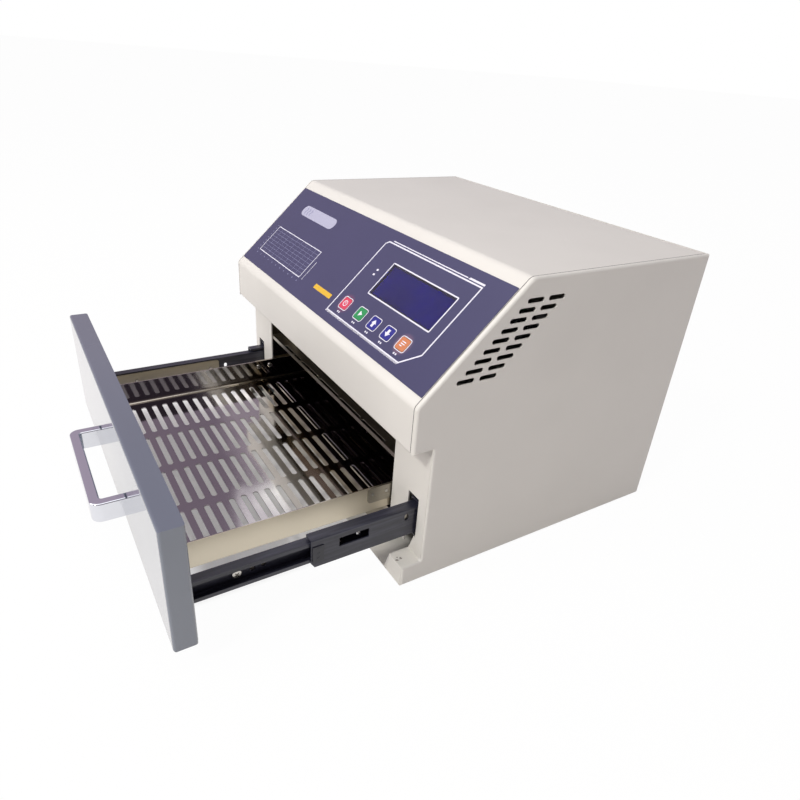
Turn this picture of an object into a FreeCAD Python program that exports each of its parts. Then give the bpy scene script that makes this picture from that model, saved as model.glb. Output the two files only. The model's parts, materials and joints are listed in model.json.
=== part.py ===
"""Bench-top reflow oven with a drawer on ball-bearing slides, one STEP file per sub-part.

Millimetres. +X is to the right of a person facing the oven, +Y is to its back, +Z is up.
Everything is drawn with y = 0 at the front plane of the casing and with the drawer shut.
save() then pulls each drawer piece out to the rest pose and moves the whole model back by
half the casing's depth, so the origin lies under the middle of the casing.
"""
import FreeCAD
import Part
import math
import os

Vector = FreeCAD.Vector
Rotation = FreeCAD.Rotation
Placement = FreeCAD.Placement

# ---- casing ---------------------------------------------------------------
WIDTH = 370.0
DEPTH = 287.0
HEIGHT = 248.0
SHEET = 1.2
HALF = WIDTH / 2
SEAM = HALF - 3.5            # the side panels' rims end here and the cover begins
SEAM_GAP = 0.6
FOOT_HEIGHT = 19.5
RECESS = 18.0                # depth of the recess that takes the drawer's front
HOOD_BOTTOM = 125.5
SLOPE_FOOT = 164.0           # height where the sloping control face starts
SLOPE_TOP = 88.5             # distance behind the front where it ends
SLOPE_ANGLE = math.degrees(math.atan2(HEIGHT - SLOPE_FOOT, SLOPE_TOP))
BEND_LOW = 6.0
BEND_HIGH = 8.0
RIM_ROUND = 2.4
FOOT_INNER = 165.5           # inner edge of a foot's top
FOOT_SPLAY = 7.0             # the foot's front is wider at the floor by this much
MOUTH_HALF = 134.5           # half the width between the front columns

# ---- side vents -----------------------------------------------------------
VENT_ROWS = 9
VENT_LENGTH = 16.0
VENT_WIDTH = 4.0
VENT_FIRST = (85.5, 231.3)   # y of the left end and z of the top row
VENT_STEP = (-6.78, -6.72)
VENT_COLUMN = 20.25

# ---- drawer ---------------------------------------------------------------
OPEN = 176.0                 # the drawer stands open by this much at rest
PANEL_DEPTH = 16.5
PANEL_BOTTOM = 21.8
PANEL_TOP = 122.9
PANEL_ROUND = 2.2
HANDLE_HALF = 60.0
HANDLE_REACH = 26.0
HANDLE_BAR = 8.0
HANDLE_BOTTOM = 45.5
HANDLE_TOP = 62.5
HANDLE_ROUND = 8.0
TRAY_HALF = 132.0
TRAY_SHEET = 1.2
TRAY_BOTTOM = 38.6
TRAY_TOP = 63.2
TRAY_END = 254.0
TRAY_ROWS = 21
TRAY_FIRST_ROW = 36.9
TRAY_ROW_PITCH = 10.365
TRAY_COLUMNS = (-91.9, -30.6, 30.6, 91.9)
TRAY_SLOT = (52.5, 4.8)

# ---- ball-bearing slides, 35 mm class --------------------------------------
SLIDE_FACE = 173.6           # outboard face of the outer member
SLIDE_CENTRE = 51.6
OUTER_HALF = 17.5             # half the height of each member
MIDDLE_HALF = 13.2
INNER_HALF = 9.2
HOLE_LINE = 50.4             # height of the holes and screws of the inner members
SLIDE_LENGTH = 250.0
SLIDE_SHEET = 1.2
OUTER_START = 19.6
MIDDLE_START = 18.5
INNER_START = 17.6
RATIO_RIGHT = 0.515          # share of the drawer's travel that each middle member makes
RATIO_LEFT = 0.09
SLOT_INNER = 158.9
SLOT_OUTER = 173.6
SLOT_TOP = 73.3
SLOT_STEP = 35.5

# ---- heating chamber -------------------------------------------------------
CHAMBER_SHEET = 0.8
CHAMBER_FRONT = 19.4
CHAMBER_BACK = 262.0
CHAMBER_BOTTOM = 34.0
CHAMBER_TOP = 120.2
GUARD_TOP = 88.0
GUARD_COLUMNS = (-88.0, -44.0, 0.0, 44.0, 88.0)
GUARD_SLOT = (41.0, 4.0)
GUARD_FIRST_ROW = 23.6
GUARD_ROW_PITCH = 15.0
GUARD_ROWS = 16
TUBE_ROWS = (50.0, 108.0, 166.0, 224.0)
TUBE_HEIGHT = 102.0
TUBE_RADIUS = 5.0
DECK_BOTTOM = 137.0

# ---- control face, measured from the top edge of the slope -------------------
OVERLAY_TOP = -11.7
OVERLAY_BOTTOM = -114.0
OVERLAY_SHEET = 0.5
DISPLAY_X = (48.2, 139.2)
DISPLAY_Y = (-72.0, -39.5)
KEY_Y = -91.0
KEY_SIZE = (12.0, 11.0)
KEYS = {"key_power": 33.2, "key_run": 60.0, "key_up": 82.7, "key_down": 104.7, "key_set": 127.2}
KEY_PROUD = 0.9
KEY_DEPTH = 0.8
BOARD_DEPTH = 12.0

# ---- rear face ---------------------------------------------------------------
FAN_SIZE = 80.0
FAN_DEPTH = 15.0
FAN_CENTRE = (0.0, 78.0)
FAN_HOLE = 38.0
FAN_PITCH = 71.5
INLET_CENTRE = (-120.0, 190.0)
SWITCH_CENTRE = (-72.0, 190.0)
FUSE_CENTRE = (-42.0, 190.0)


# ---- shared tools --------------------------------------------------------------
def box(x0, x1, y0, y1, z0, z1):
    return Part.makeBox(x1 - x0, y1 - y0, z1 - z0, Vector(x0, y0, z0))


def rod(radius, start, end):
    start = Vector(*start)
    span = Vector(*end) - start
    return Part.makeCylinder(radius, span.Length, start, span)


def join(shapes):
    shapes = list(shapes)
    return shapes[0].multiFuse(shapes[1:]).removeSplitter()


def mirror(shape):
    return shape.mirror(Vector(0, 0, 0), Vector(1, 0, 0))


def rounded_loop(points, place):
    """Closed wire through (a, b) or (a, b, radius) points; place(a, b) gives the 3-D point."""
    edges = []
    ends = []
    for i, point in enumerate(points):
        corner = Vector(point[0], point[1], 0)
        radius = point[2] if len(point) > 2 else 0.0
        before = (Vector(*points[i - 1][:2], 0) - corner).normalize()
        after = (Vector(*points[(i + 1) % len(points)][:2], 0) - corner).normalize()
        if radius <= 0:
            ends.append((corner, corner))
            continue
        half = before.getAngle(after) / 2
        reach = radius / math.tan(half)
        first = corner + before * reach
        last = corner + after * reach
        middle = (before + after).normalize()
        centre = corner + middle * (radius / math.sin(half))
        apex = centre - middle * radius
        edges.append(Part.Arc(place(first.x, first.y), place(apex.x, apex.y), place(last.x, last.y)).toShape())
        ends.append((first, last))
    for i in range(len(points)):
        start = ends[i - 1][1]
        stop = ends[i][0]
        if (stop - start).Length > 1e-6:
            edges.append(Part.LineSegment(place(start.x, start.y), place(stop.x, stop.y)).toShape())
    return Part.Wire(Part.__sortEdges__(edges))


def slab(points, place, along):
    """The loop through the points, filled and pushed along a vector."""
    return Part.Face(rounded_loop(points, place)).extrude(Vector(*along))


def slab_x(points, x0, x1):
    """A (y, z) outline pushed from x0 to x1."""
    return slab(points, lambda a, b: Vector(x0, a, b), (x1 - x0, 0, 0))


def slab_y(points, y0, y1):
    """An (x, z) outline pushed from y0 to y1."""
    return slab(points, lambda a, b: Vector(a, y0, b), (0, y1 - y0, 0))


def slab_z(points, z0, z1):
    """An (x, y) outline pushed from z0 to z1."""
    return slab(points, lambda a, b: Vector(a, b, z0), (0, 0, z1 - z0))


def rectangle(a0, a1, b0, b1, radius=0.0):
    return [(a0, b0, radius), (a1, b0, radius), (a1, b1, radius), (a0, b1, radius)]


def obround(a, b, length, width):
    """A slot with round ends, centred on (a, b) and lying along the first axis."""
    radius = width / 2 - 0.001
    return rectangle(a - length / 2, a + length / 2, b - width / 2, b + width / 2, radius)


def inset(points, distance):
    """The same counter-clockwise outline with every side moved inwards."""
    moved = []
    count = len(points)
    for i, point in enumerate(points):
        here = Vector(point[0], point[1], 0)
        before = Vector(*points[i - 1][:2], 0)
        after = Vector(*points[(i + 1) % count][:2], 0)
        first = (here - before).normalize()
        second = (after - here).normalize()
        normal_a = Vector(-first.y, first.x, 0)
        normal_b = Vector(-second.y, second.x, 0)
        shift = (normal_a + normal_b) * (distance / (1 + normal_a.dot(normal_b)))
        turn = first.x * second.y - first.y * second.x
        radius = point[2] if len(point) > 2 else 0.0
        radius = max(radius - math.copysign(distance, turn), 0.0) if radius else 0.0
        corner = here + shift
        moved.append((corner.x, corner.y, radius))
    return moved


def round_edges(shape, radius, wanted):
    edges = [edge for edge in shape.Edges if wanted(edge)]
    return shape.makeFillet(radius, edges)


def in_plane(edge, axis, value):
    """True where the whole edge lies at this value of the axis."""
    limits = edge.BoundBox
    low = getattr(limits, axis + "Min")
    high = getattr(limits, axis + "Max")
    return abs(low - value) < 1e-3 and abs(high - value) < 1e-3


def along(edge, axis):
    """True where the edge is a straight line along the axis."""
    limits = edge.BoundBox
    spans = {"X": limits.XLength, "Y": limits.YLength, "Z": limits.ZLength}
    reach = spans.pop(axis)
    return reach > 1.0 and max(spans.values()) < 1e-3


def on_slope(shape):
    """From flat drawing (x, up the slope, outwards) to the sloping control face."""
    turn = Rotation(Vector(1, 0, 0), SLOPE_ANGLE)
    return shape.transformGeometry(Placement(Vector(0, SLOPE_TOP, HEIGHT), turn).toMatrix())


def pan_screw(head, depth, shank, length):
    """Cross-head screw along -Z, with the underside of its head at z = 0."""
    body = round_edges(Part.makeCylinder(head, depth), depth * 0.45, lambda e: in_plane(e, "Z", depth))
    body = body.fuse(Part.makeCylinder(shank, length, Vector(0, 0, -length)))
    for turn in (0, 90):
        blade = box(-head * 0.55, head * 0.55, -head * 0.12, head * 0.12, depth * 0.45, depth + 1)
        blade.rotate(Vector(0, 0, 0), Vector(0, 0, 1), turn + 45)
        body = body.cut(blade)
    return body


def aimed(shape, place, direction):
    """A copy of a part drawn along +Z, turned to point along a direction from a place."""
    copy = shape.copy()
    aim = Placement(Vector(*place), Rotation(Vector(0, 0, 1), Vector(*direction)))
    copy.Placement = aim.multiply(shape.Placement)
    return copy


def save(name, parts, travel=0.0):
    """Writes one node. Travel is how far the piece has come out with the drawer."""
    parts = list(parts) if isinstance(parts, (list, tuple)) else [parts]
    node = parts[0] if len(parts) == 1 else Part.makeCompound(parts)
    node = node.copy()
    node.translate(Vector(0, -DEPTH / 2 - travel, 0))
    if not node.isValid():
        raise ValueError(name + " is not a valid solid")
    print("%-22s solids %2d  volume %9.0f" % (name, len(node.Solids), node.Volume))
    node.exportStep("parts/" + name + ".step")


# ---- casing ------------------------------------------------------------------
CASING = [
    (0, 0), (DEPTH, 0), (DEPTH, HEIGHT), (SLOPE_TOP, HEIGHT, BEND_HIGH), (0, SLOPE_FOOT, BEND_LOW),
    (0, HOOD_BOTTOM), (RECESS, HOOD_BOTTOM, 0.8), (RECESS, FOOT_HEIGHT, 2.0), (0, FOOT_HEIGHT),
]


def side_vents():
    for row in range(VENT_ROWS):
        for column in range(2):
            y = VENT_FIRST[0] + VENT_LENGTH / 2 + row * VENT_STEP[0] + column * VENT_COLUMN
            z = VENT_FIRST[1] + row * VENT_STEP[1]
            yield slab_x(obround(y, z, VENT_LENGTH, VENT_WIDTH), HALF - 10, HALF + 10)


def side_panel():
    """Right side: one folded sheet with its rim, its foot and its front column."""
    rim = slab_x(CASING, SEAM, HALF)
    rim = round_edges(rim, RIM_ROUND, lambda e: in_plane(e, "X", HALF))
    rim = rim.cut(slab_x(inset(CASING, SHEET), SEAM - 1, HALF - SHEET))
    column = slab_y([
        (HALF - SHEET, FOOT_HEIGHT - SHEET), (FOOT_INNER, FOOT_HEIGHT - SHEET),
        (SLOT_OUTER - 2, SLOT_STEP), (SLOT_OUTER, SLOT_STEP), (SLOT_OUTER, SLOT_TOP),
        (SLOT_INNER, SLOT_TOP), (SLOT_INNER, 22.0), (MOUTH_HALF, 22.0),
        (MOUTH_HALF, HOOD_BOTTOM + 6), (HALF - SHEET, HOOD_BOTTOM + 6),
    ], RECESS, RECESS + SHEET)
    foot_top = box(FOOT_INNER, HALF - SHEET, SHEET, RECESS + SHEET, FOOT_HEIGHT - SHEET, FOOT_HEIGHT)
    foot_front = slab_y([
        (FOOT_INNER - FOOT_SPLAY, 0), (HALF - SHEET, 0), (HALF - SHEET, FOOT_HEIGHT),
        (FOOT_INNER, FOOT_HEIGHT),
    ], 0, SHEET)
    foot_bottom = box(FOOT_INNER + 8, SEAM, SHEET, RECESS, 0, SHEET)
    panel = join([rim, column, foot_top, foot_front, foot_bottom])
    for vent in side_vents():
        panel = panel.cut(vent)
    return panel


def top_cover():
    """Front lip, control slope and roof, folded from one sheet."""
    half = SEAM - SEAM_GAP
    rear = DEPTH - SHEET - SEAM_GAP
    outline = [
        (0, HOOD_BOTTOM, 1.8), (rear, HOOD_BOTTOM), (rear, HEIGHT, 1.8),
        (SLOPE_TOP, HEIGHT, BEND_HIGH), (0, SLOPE_FOOT, BEND_LOW),
    ]
    cover = slab_x(outline, -half, half)
    cover = cover.cut(slab_x(inset(outline, SHEET), -half - 1, half + 1))
    cover = cover.cut(box(-WIDTH, WIDTH, RECESS - SEAM_GAP, DEPTH, HOOD_BOTTOM - 1, HOOD_BOTTOM + 4))
    cover = cover.cut(box(-WIDTH, WIDTH, rear - 4, DEPTH, HOOD_BOTTOM - 1, HEIGHT - 14))
    display = slab_z(rectangle(*DISPLAY_X, *DISPLAY_Y, 1.0), -5, 5)
    cover = cover.cut(on_slope(display))
    for x in KEYS.values():
        cover = cover.cut(on_slope(key_block(x, 0.5, -5, 5)))
    return cover.cut(screw_holes(rear))


def base_pan():
    half = SEAM - SEAM_GAP
    rear = DEPTH - SHEET - SEAM_GAP
    pan = box(-half, half, 0, rear, 0, SHEET)
    pan = join([pan, box(-half, half, rear - SHEET, rear, 0, 14)])
    for side in (-1, 1):
        inner = side * (FOOT_INNER - FOOT_SPLAY - SEAM_GAP)
        outer = side * (half + 1)
        pan = pan.cut(box(min(inner, outer), max(inner, outer), -1, RECESS + SEAM_GAP, -1, SHEET + 1))
        for row in range(6):
            vent = obround(side * 90, 70 + row * 30, 70, 5)
            pan = pan.cut(slab_z(vent, -1, SHEET + 1))
    return pan.cut(screw_holes(rear))


def rear_panel():
    half = SEAM - SEAM_GAP
    panel = slab_y(rectangle(-half, half, 0, HEIGHT, 0.8), DEPTH - SHEET, DEPTH)
    cuts = [rod(FAN_HOLE, (FAN_CENTRE[0], DEPTH - 5, FAN_CENTRE[1]), (FAN_CENTRE[0], DEPTH + 5, FAN_CENTRE[1]))]
    for x, z in fan_holes():
        cuts.append(rod(2.2, (x, DEPTH - 5, z), (x, DEPTH + 5, z)))
    cuts.append(slab_y(rectangle(INLET_CENTRE[0] - 14, INLET_CENTRE[0] + 14,
                                 INLET_CENTRE[1] - 10.2, INLET_CENTRE[1] + 10.2, 1.5), DEPTH - 5, DEPTH + 5))
    cuts.append(slab_y(rectangle(SWITCH_CENTRE[0] - 6.6, SWITCH_CENTRE[0] + 6.6,
                                 SWITCH_CENTRE[1] - 9.7, SWITCH_CENTRE[1] + 9.7, 0.5), DEPTH - 5, DEPTH + 5))
    cuts.append(rod(6.2, (FUSE_CENTRE[0], DEPTH - 5, FUSE_CENTRE[1]), (FUSE_CENTRE[0], DEPTH + 5, FUSE_CENTRE[1])))
    for row in range(7):
        cuts.append(slab_y(obround(80, 165 + row * 9, 100, 4), DEPTH - 5, DEPTH + 5))
    for cut in cuts:
        panel = panel.cut(cut)
    return panel.cut(screw_holes(DEPTH))


def screw_places():
    """Rear screws: three up each side into the slide carriers, three along the roof."""
    places = [(side * 168.5, z) for side in (-1, 1) for z in (12.0, 70.0, 126.0)]
    return places + [(x, HEIGHT - 8) for x in (-150.0, 0.0, 150.0)]


def screw_holes(y):
    """Clearance for the rear screws through a sheet whose back is at y."""
    return Part.makeCompound([rod(1.6, (x, y - 5, z), (x, y + 5, z)) for x, z in screw_places()])


def casing_screws():
    screw = pan_screw(3.2, 2.0, 1.5, 5.0)
    return [aimed(screw, (x, DEPTH, z), (0, 1, 0)) for x, z in screw_places()]


def slide_carrier():
    """Right carrier: upright plate for a slide, folded at the bottom, the top and the rear."""
    face = SLIDE_FACE
    rear = DEPTH - SHEET - 2 * SEAM_GAP - SHEET
    plate = box(face, face + SHEET, RECESS + SHEET + 0.2, rear, SHEET + 0.1, DECK_BOTTOM)
    bottom = box(face - 12, face, RECESS + 10, rear, SHEET + 0.1, 2 * SHEET + 0.1)
    top = box(face - 12, face, RECESS + 10, rear, DECK_BOTTOM - SHEET, DECK_BOTTOM)
    back = box(face - 12, face, rear - SHEET, rear, SHEET + 0.1, DECK_BOTTOM)
    carrier = join([plate, bottom, top, back])
    for z in (12.0, 70.0, 126.0):
        carrier = carrier.cut(rod(1.6, (168.5, rear - 5, z), (168.5, rear + 5, z)))
    low = SLIDE_CENTRE - OUTER_HALF - 0.7
    high = SLIDE_CENTRE + OUTER_HALF + 0.7
    return carrier.cut(box(face - 13, face, OUTER_START, rear + 1, low, high))


def electronics_deck():
    deck = box(-SLIDE_FACE, SLIDE_FACE, 60, 279, DECK_BOTTOM, DECK_BOTTOM + SHEET)
    lip = box(-SLIDE_FACE, SLIDE_FACE, 60, 60 + SHEET, DECK_BOTTOM, DECK_BOTTOM + 10)
    deck = join([deck, lip])
    for x in (-150, 150):
        deck = deck.cut(rod(9, (x, 250, DECK_BOTTOM - 5), (x, 250, DECK_BOTTOM + 5)))
    return deck


# ---- heating chamber ------------------------------------------------------------
def chamber_shell():
    """Polished box, open at the front, on an apron at each end, with a flange over the mouth."""
    t = CHAMBER_SHEET
    half = MOUTH_HALF
    shell = box(-half - t, half + t, CHAMBER_FRONT, CHAMBER_BACK + t, CHAMBER_BOTTOM - t, CHAMBER_TOP + t)
    shell = shell.cut(box(-half, half, CHAMBER_FRONT - 1, CHAMBER_BACK, CHAMBER_BOTTOM, CHAMBER_TOP))
    flange = box(-half - t, half + t, CHAMBER_FRONT, CHAMBER_FRONT + t, CHAMBER_TOP, HOOD_BOTTOM + 8)
    aprons = [box(-half - t, half + t, y, y + t, SHEET + 0.1, CHAMBER_BOTTOM) for y in (CHAMBER_FRONT, CHAMBER_BACK)]
    shell = join([shell, flange] + aprons)
    cuts = []
    for ring, count in ((0.0, 1), (9.0, 6), (18.0, 12), (27.0, 18)):
        for i in range(count):
            angle = 2 * math.pi * i / count
            x = FAN_CENTRE[0] + ring * math.cos(angle)
            z = FAN_CENTRE[1] + ring * math.sin(angle)
            cuts.append(rod(3.0, (x, CHAMBER_BACK - 2, z), (x, CHAMBER_BACK + 3, z)))
    cuts.append(rod(3.2, (60, CHAMBER_BACK - 2, 76), (60, CHAMBER_BACK + 3, 76)))
    return shell.cut(Part.makeCompound(cuts))


def heater_guard():
    """Slotted plate under the heater tubes."""
    plate = box(-MOUTH_HALF + 0.2, MOUTH_HALF - 0.2, CHAMBER_FRONT, CHAMBER_BACK - 2,
                GUARD_TOP - CHAMBER_SHEET, GUARD_TOP)
    slots = []
    for row in range(GUARD_ROWS):
        for x in GUARD_COLUMNS:
            outline = obround(x, GUARD_FIRST_ROW + row * GUARD_ROW_PITCH, *GUARD_SLOT)
            slots.append(slab_z(outline, GUARD_TOP - 3, GUARD_TOP + 3))
    plate = plate.cut(Part.makeCompound(slots))
    front = box(-MOUTH_HALF + 0.2, MOUTH_HALF - 0.2, CHAMBER_FRONT, CHAMBER_FRONT + CHAMBER_SHEET,
                GUARD_TOP, GUARD_TOP + 3)
    ledges = [box(min(s * 134.3, s * 133.5), max(s * 134.3, s * 133.5), CHAMBER_FRONT, CHAMBER_BACK - 2,
                  GUARD_TOP, GUARD_TOP + 4) for s in (-1, 1)]
    return join([plate, front] + ledges)


def heater_reflector():
    """Trough over each tube, folded from one bright sheet."""
    under = []
    for y in TUBE_ROWS:
        under += [(y - 22, 99.0), (y - 11, 114.0), (y + 11, 114.0), (y + 22, 99.0)]
    over = [(y, z + 0.8) for y, z in reversed(under)]
    return slab_x(under + over, -116, 116)


def heater_tubes():
    tubes = []
    for y in TUBE_ROWS:
        outer = rod(TUBE_RADIUS, (-126, y, TUBE_HEIGHT), (126, y, TUBE_HEIGHT))
        tubes.append(outer.cut(rod(TUBE_RADIUS - 1, (-127, y, TUBE_HEIGHT), (127, y, TUBE_HEIGHT))))
    return tubes


def heater_caps():
    """Ceramic end caps, each with a socket for a tube's end."""
    caps = []
    for y in TUBE_ROWS:
        for side in (-1, 1):
            block = box(118.5, 134.4, y - 8, y + 8, TUBE_HEIGHT - 8, TUBE_HEIGHT + 8)
            block = round_edges(block, 2.0, lambda e: along(e, "X"))
            block = block.cut(rod(TUBE_RADIUS + 0.1, (118, y, TUBE_HEIGHT), (126.2, y, TUBE_HEIGHT)))
            caps.append(block if side > 0 else mirror(block))
    return caps


def thermocouple():
    sheath = rod(1.5, (60, 214, 76), (60, 274, 76))
    sheath = round_edges(sheath, 1.2, lambda e: in_plane(e, "Y", 214))
    nut = slab_y([(60 + 6 * math.cos(math.radians(a)), 76 + 6 * math.sin(math.radians(a)))
                  for a in range(0, 360, 60)], CHAMBER_BACK + CHAMBER_SHEET, CHAMBER_BACK + 5)
    collar = rod(3.0, (60, CHAMBER_BACK - 3, 76), (60, CHAMBER_BACK + 5, 76))
    return join([sheath, nut, collar])


def top_insulation():
    return box(-150, 150, 22, CHAMBER_BACK, CHAMBER_TOP + 1.0, DECK_BOTTOM - 1.0)


def side_insulation():
    pad = box(MOUTH_HALF + 1.0, 150, 22, CHAMBER_BACK, CHAMBER_BOTTOM - 1, CHAMBER_TOP + 0.8)
    return [pad, mirror(pad)]


# ---- rear fan ---------------------------------------------------------------------
def fan_holes():
    return [(FAN_CENTRE[0] + a * FAN_PITCH / 2, FAN_CENTRE[1] + b * FAN_PITCH / 2)
            for a in (-1, 1) for b in (-1, 1)]


def fan_frame():
    back = DEPTH - SHEET
    front = back - FAN_DEPTH
    x, z = FAN_CENTRE
    half = FAN_SIZE / 2
    frame = slab_y(rectangle(x - half, x + half, z - half, z + half, 4), front, back)
    frame = frame.cut(rod(FAN_HOLE, (x, front - 1, z), (x, back + 1, z)))
    hub = rod(14.0, (x, front, z), (x, front + 1.6, z))
    shaft = rod(1.5, (x, front, z), (x, back - 2.5, z))
    struts = []
    for angle in (45, 135, 225, 315):
        strut = box(12, FAN_HOLE + 1, -1.5, 1.5, 0, 1.6)
        strut.rotate(Vector(0, 0, 0), Vector(0, 0, 1), angle)
        struts.append(aimed(strut, (x, front + 1.6, z), (0, -1, 0)))
    frame = join([frame, hub, shaft] + struts)
    for hole_x, hole_z in fan_holes():
        frame = frame.cut(rod(2.2, (hole_x, front - 1, hole_z), (hole_x, back + 1, hole_z)))
    return frame


def fan_rotor():
    """Seven pitched blades on a cup that turns on the frame's shaft."""
    back = DEPTH - SHEET
    front = back - FAN_DEPTH + 2.4
    x, z = FAN_CENTRE
    hub = rod(14.5, (x, front, z), (x, back - 1.2, z))
    hub = round_edges(hub, 1.5, lambda e: in_plane(e, "Y", back - 1.2))
    blades = []
    for i in range(7):
        blade = box(13.0, 36.0, -8.5, 8.5, -0.6, 0.6)
        blade.rotate(Vector(0, 0, 0), Vector(1, 0, 0), 34)
        blade = blade.common(box(12, 37, -12, 12, -4.8, 4.8))
        blade.rotate(Vector(0, 0, 0), Vector(0, 0, 1), i * 360 / 7)
        blades.append(aimed(blade, (x, (front + back - 1.2) / 2, z), (0, 1, 0)))
    rotor = join([hub] + blades)
    trim = rod(36.5, (x, front, z), (x, back, z))
    return rotor.common(trim).cut(rod(1.58, (x, front - 1, z), (x, back - 2.2, z)))


def fan_guard():
    """Wire finger guard on the outside of the rear face: rings laid on four flat spokes."""
    x, z = FAN_CENTRE
    parts = [Part.makeTorus(radius, 0.8, Vector(x, DEPTH + 2.45, z), Vector(0, 1, 0))
             for radius in (9, 17, 25, 33, 39)]
    far = FAN_PITCH / math.sqrt(2)
    for angle, (eye_x, eye_z) in zip((45, 135, 225, 315), ((1, 1), (-1, 1), (-1, -1), (1, -1))):
        spoke = box(7, far - 2.5, -0.8, 0.8, 0, 1.5)
        spoke.rotate(Vector(0, 0, 0), Vector(0, 0, 1), -angle)
        spoke = aimed(spoke, (x, DEPTH + 0.1, z), (0, 1, 0))
        place = (x + eye_x * FAN_PITCH / 2, z + eye_z * FAN_PITCH / 2)
        eye = rod(3.6, (place[0], DEPTH + 0.1, place[1]), (place[0], DEPTH + 1.6, place[1]))
        hole = rod(2.0, (place[0], DEPTH - 1, place[1]), (place[0], DEPTH + 3, place[1]))
        parts.append(join([spoke, eye]).cut(hole))
    return parts


# ---- control face -------------------------------------------------------------------
def key_block(x, grow, z0, z1, radius=2.0):
    """A key's rounded outline on the flat drawing of the slope."""
    half_x = KEY_SIZE[0] / 2 + grow
    half_y = KEY_SIZE[1] / 2 + grow
    return slab_z(rectangle(x - half_x, x + half_x, KEY_Y - half_y, KEY_Y + half_y, radius + grow), z0, z1)


def control_overlay():
    half = SEAM - SEAM_GAP - 0.4
    sheet = slab_z(rectangle(-half, half, OVERLAY_BOTTOM, OVERLAY_TOP, 0.8), 0, OVERLAY_SHEET)
    sheet = sheet.cut(slab_z(rectangle(*DISPLAY_X, *DISPLAY_Y, 1.0), -1, 2))
    for x in KEYS.values():
        sheet = sheet.cut(key_block(x, 0.3, -1, 2))
    return on_slope(sheet)


def display_window():
    x0, x1 = DISPLAY_X
    y0, y1 = DISPLAY_Y
    pane = slab_z(rectangle(x0 + 0.2, x1 - 0.2, y0 + 0.2, y1 - 0.2, 0.8), -0.6, OVERLAY_SHEET - 0.05)
    return on_slope(pane)


def display_module():
    """Graphic display: metal bezel with the glass recessed in it, on its own board."""
    x0, x1 = DISPLAY_X
    y0, y1 = DISPLAY_Y
    bezel = slab_z(rectangle(x0 - 4, x1 + 4, y0 - 4, y1 + 4, 1), -8.5, -SHEET - 0.2)
    glass = slab_z(rectangle(x0 + 1, x1 - 1, y0 + 1, y1 - 1), -2.4, 0)
    board = slab_z(rectangle(x0 - 7, x1 + 4.5, y0 - 6, y1 + 4.5), -10.1, -8.5)
    return on_slope(join([bezel.cut(glass), board]))


def control_board():
    board = slab_z(rectangle(24, 151, -104, -30, 2), -BOARD_DEPTH - 1.6, -BOARD_DEPTH)
    chips = [
        box(60, 76, -60, -44, -BOARD_DEPTH - 4.0, -BOARD_DEPTH - 1.6),
        box(90, 100, -75, -60, -BOARD_DEPTH - 4.0, -BOARD_DEPTH - 1.6),
        box(112, 140, -60, -52, -BOARD_DEPTH - 10.0, -BOARD_DEPTH - 1.6),
        rod(6.0, (40, -50, -BOARD_DEPTH - 9.0), (40, -50, -BOARD_DEPTH - 1.6)),
    ]
    holes = [rod(1.6, (x, y, -20), (x, y, 0)) for x, y in standoff_places()]
    return on_slope(join([board] + chips).cut(Part.makeCompound(holes)))


def standoff_places():
    return [(x, y) for x in (28, 147.5) for y in (-100, -34)]


def board_standoffs():
    pillars = []
    for x, y in standoff_places():
        pillar = rod(3.0, (x, y, -BOARD_DEPTH + 0.05), (x, y, -SHEET - 0.05))
        pillars.append(on_slope(pillar))
    return pillars


def key_switches():
    """One tact switch under each key, on the control board."""
    switches = []
    for x in KEYS.values():
        body = box(x - 3, x + 3, KEY_Y - 3, KEY_Y + 3, -BOARD_DEPTH + 0.02, -BOARD_DEPTH + 3.5)
        plunger = rod(1.75, (x, KEY_Y, -BOARD_DEPTH + 3.5), (x, KEY_Y, -KEY_DEPTH - 0.6))
        switches.append(on_slope(body.fuse(plunger)))
    return switches


def key_cap(x):
    cap = key_block(x, 0.0, -KEY_DEPTH, KEY_PROUD)
    cap = round_edges(cap, 0.35, lambda e: in_plane(e, "Z", KEY_PROUD))
    return on_slope(cap)


# ---- power parts -----------------------------------------------------------------------
def power_board():
    top = DECK_BOTTOM + SHEET
    board = box(-120, 20, 150, 250, top + 6, top + 7.6)
    pillars = [rod(3.0, (x, y, top), (x, y, top + 6)) for x in (-114, 14) for y in (156, 244)]
    transformer = round_edges(box(-60, -20, 160, 195, top + 7.6, top + 38), 2, lambda e: along(e, "Z"))
    coils = rod(12.0, (-100, 180, top + 7.6), (-100, 180, top + 30))
    relay = box(-10, 12, 205, 235, top + 7.6, top + 24)
    terminals = box(-110, -60, 236, 246, top + 7.6, top + 18)
    return join([board, transformer, coils, relay, terminals] + pillars)


def relay_block():
    """Solid-state relay on a finned heat sink."""
    top = DECK_BOTTOM + SHEET
    base = box(60, 150, 170, 240, top, top + 5)
    fins = [box(60, 150, 170 + i * 7.0, 172 + i * 7.0, top + 5, top + 26) for i in range(4)]
    relay = round_edges(box(75, 133, 198, 238, top + 5, top + 28), 1.5, lambda e: along(e, "Z"))
    return join([base, relay] + fins)


def wire(points, radius, bend):
    """A wire along straight runs joined by tangent arcs."""
    path = [Vector(*p) for p in points]
    edges = []
    start = path[0]
    for before, corner, after in zip(path, path[1:], path[2:]):
        back = (before - corner).normalize()
        ahead = (after - corner).normalize()
        half = back.getAngle(ahead) / 2
        reach = bend / math.tan(half)
        middle = (back + ahead).normalize()
        apex = corner + middle * (bend / math.sin(half) - bend)
        first = corner + back * reach
        last = corner + ahead * reach
        edges.append(Part.LineSegment(start, first).toShape())
        edges.append(Part.Arc(first, apex, last).toShape())
        start = last
    edges.append(Part.LineSegment(start, path[-1]).toShape())
    ring = Part.Wire(Part.makeCircle(radius, path[0], path[1] - path[0]))
    return Part.Wire(edges).makePipeShell([ring], True, False)


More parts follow.
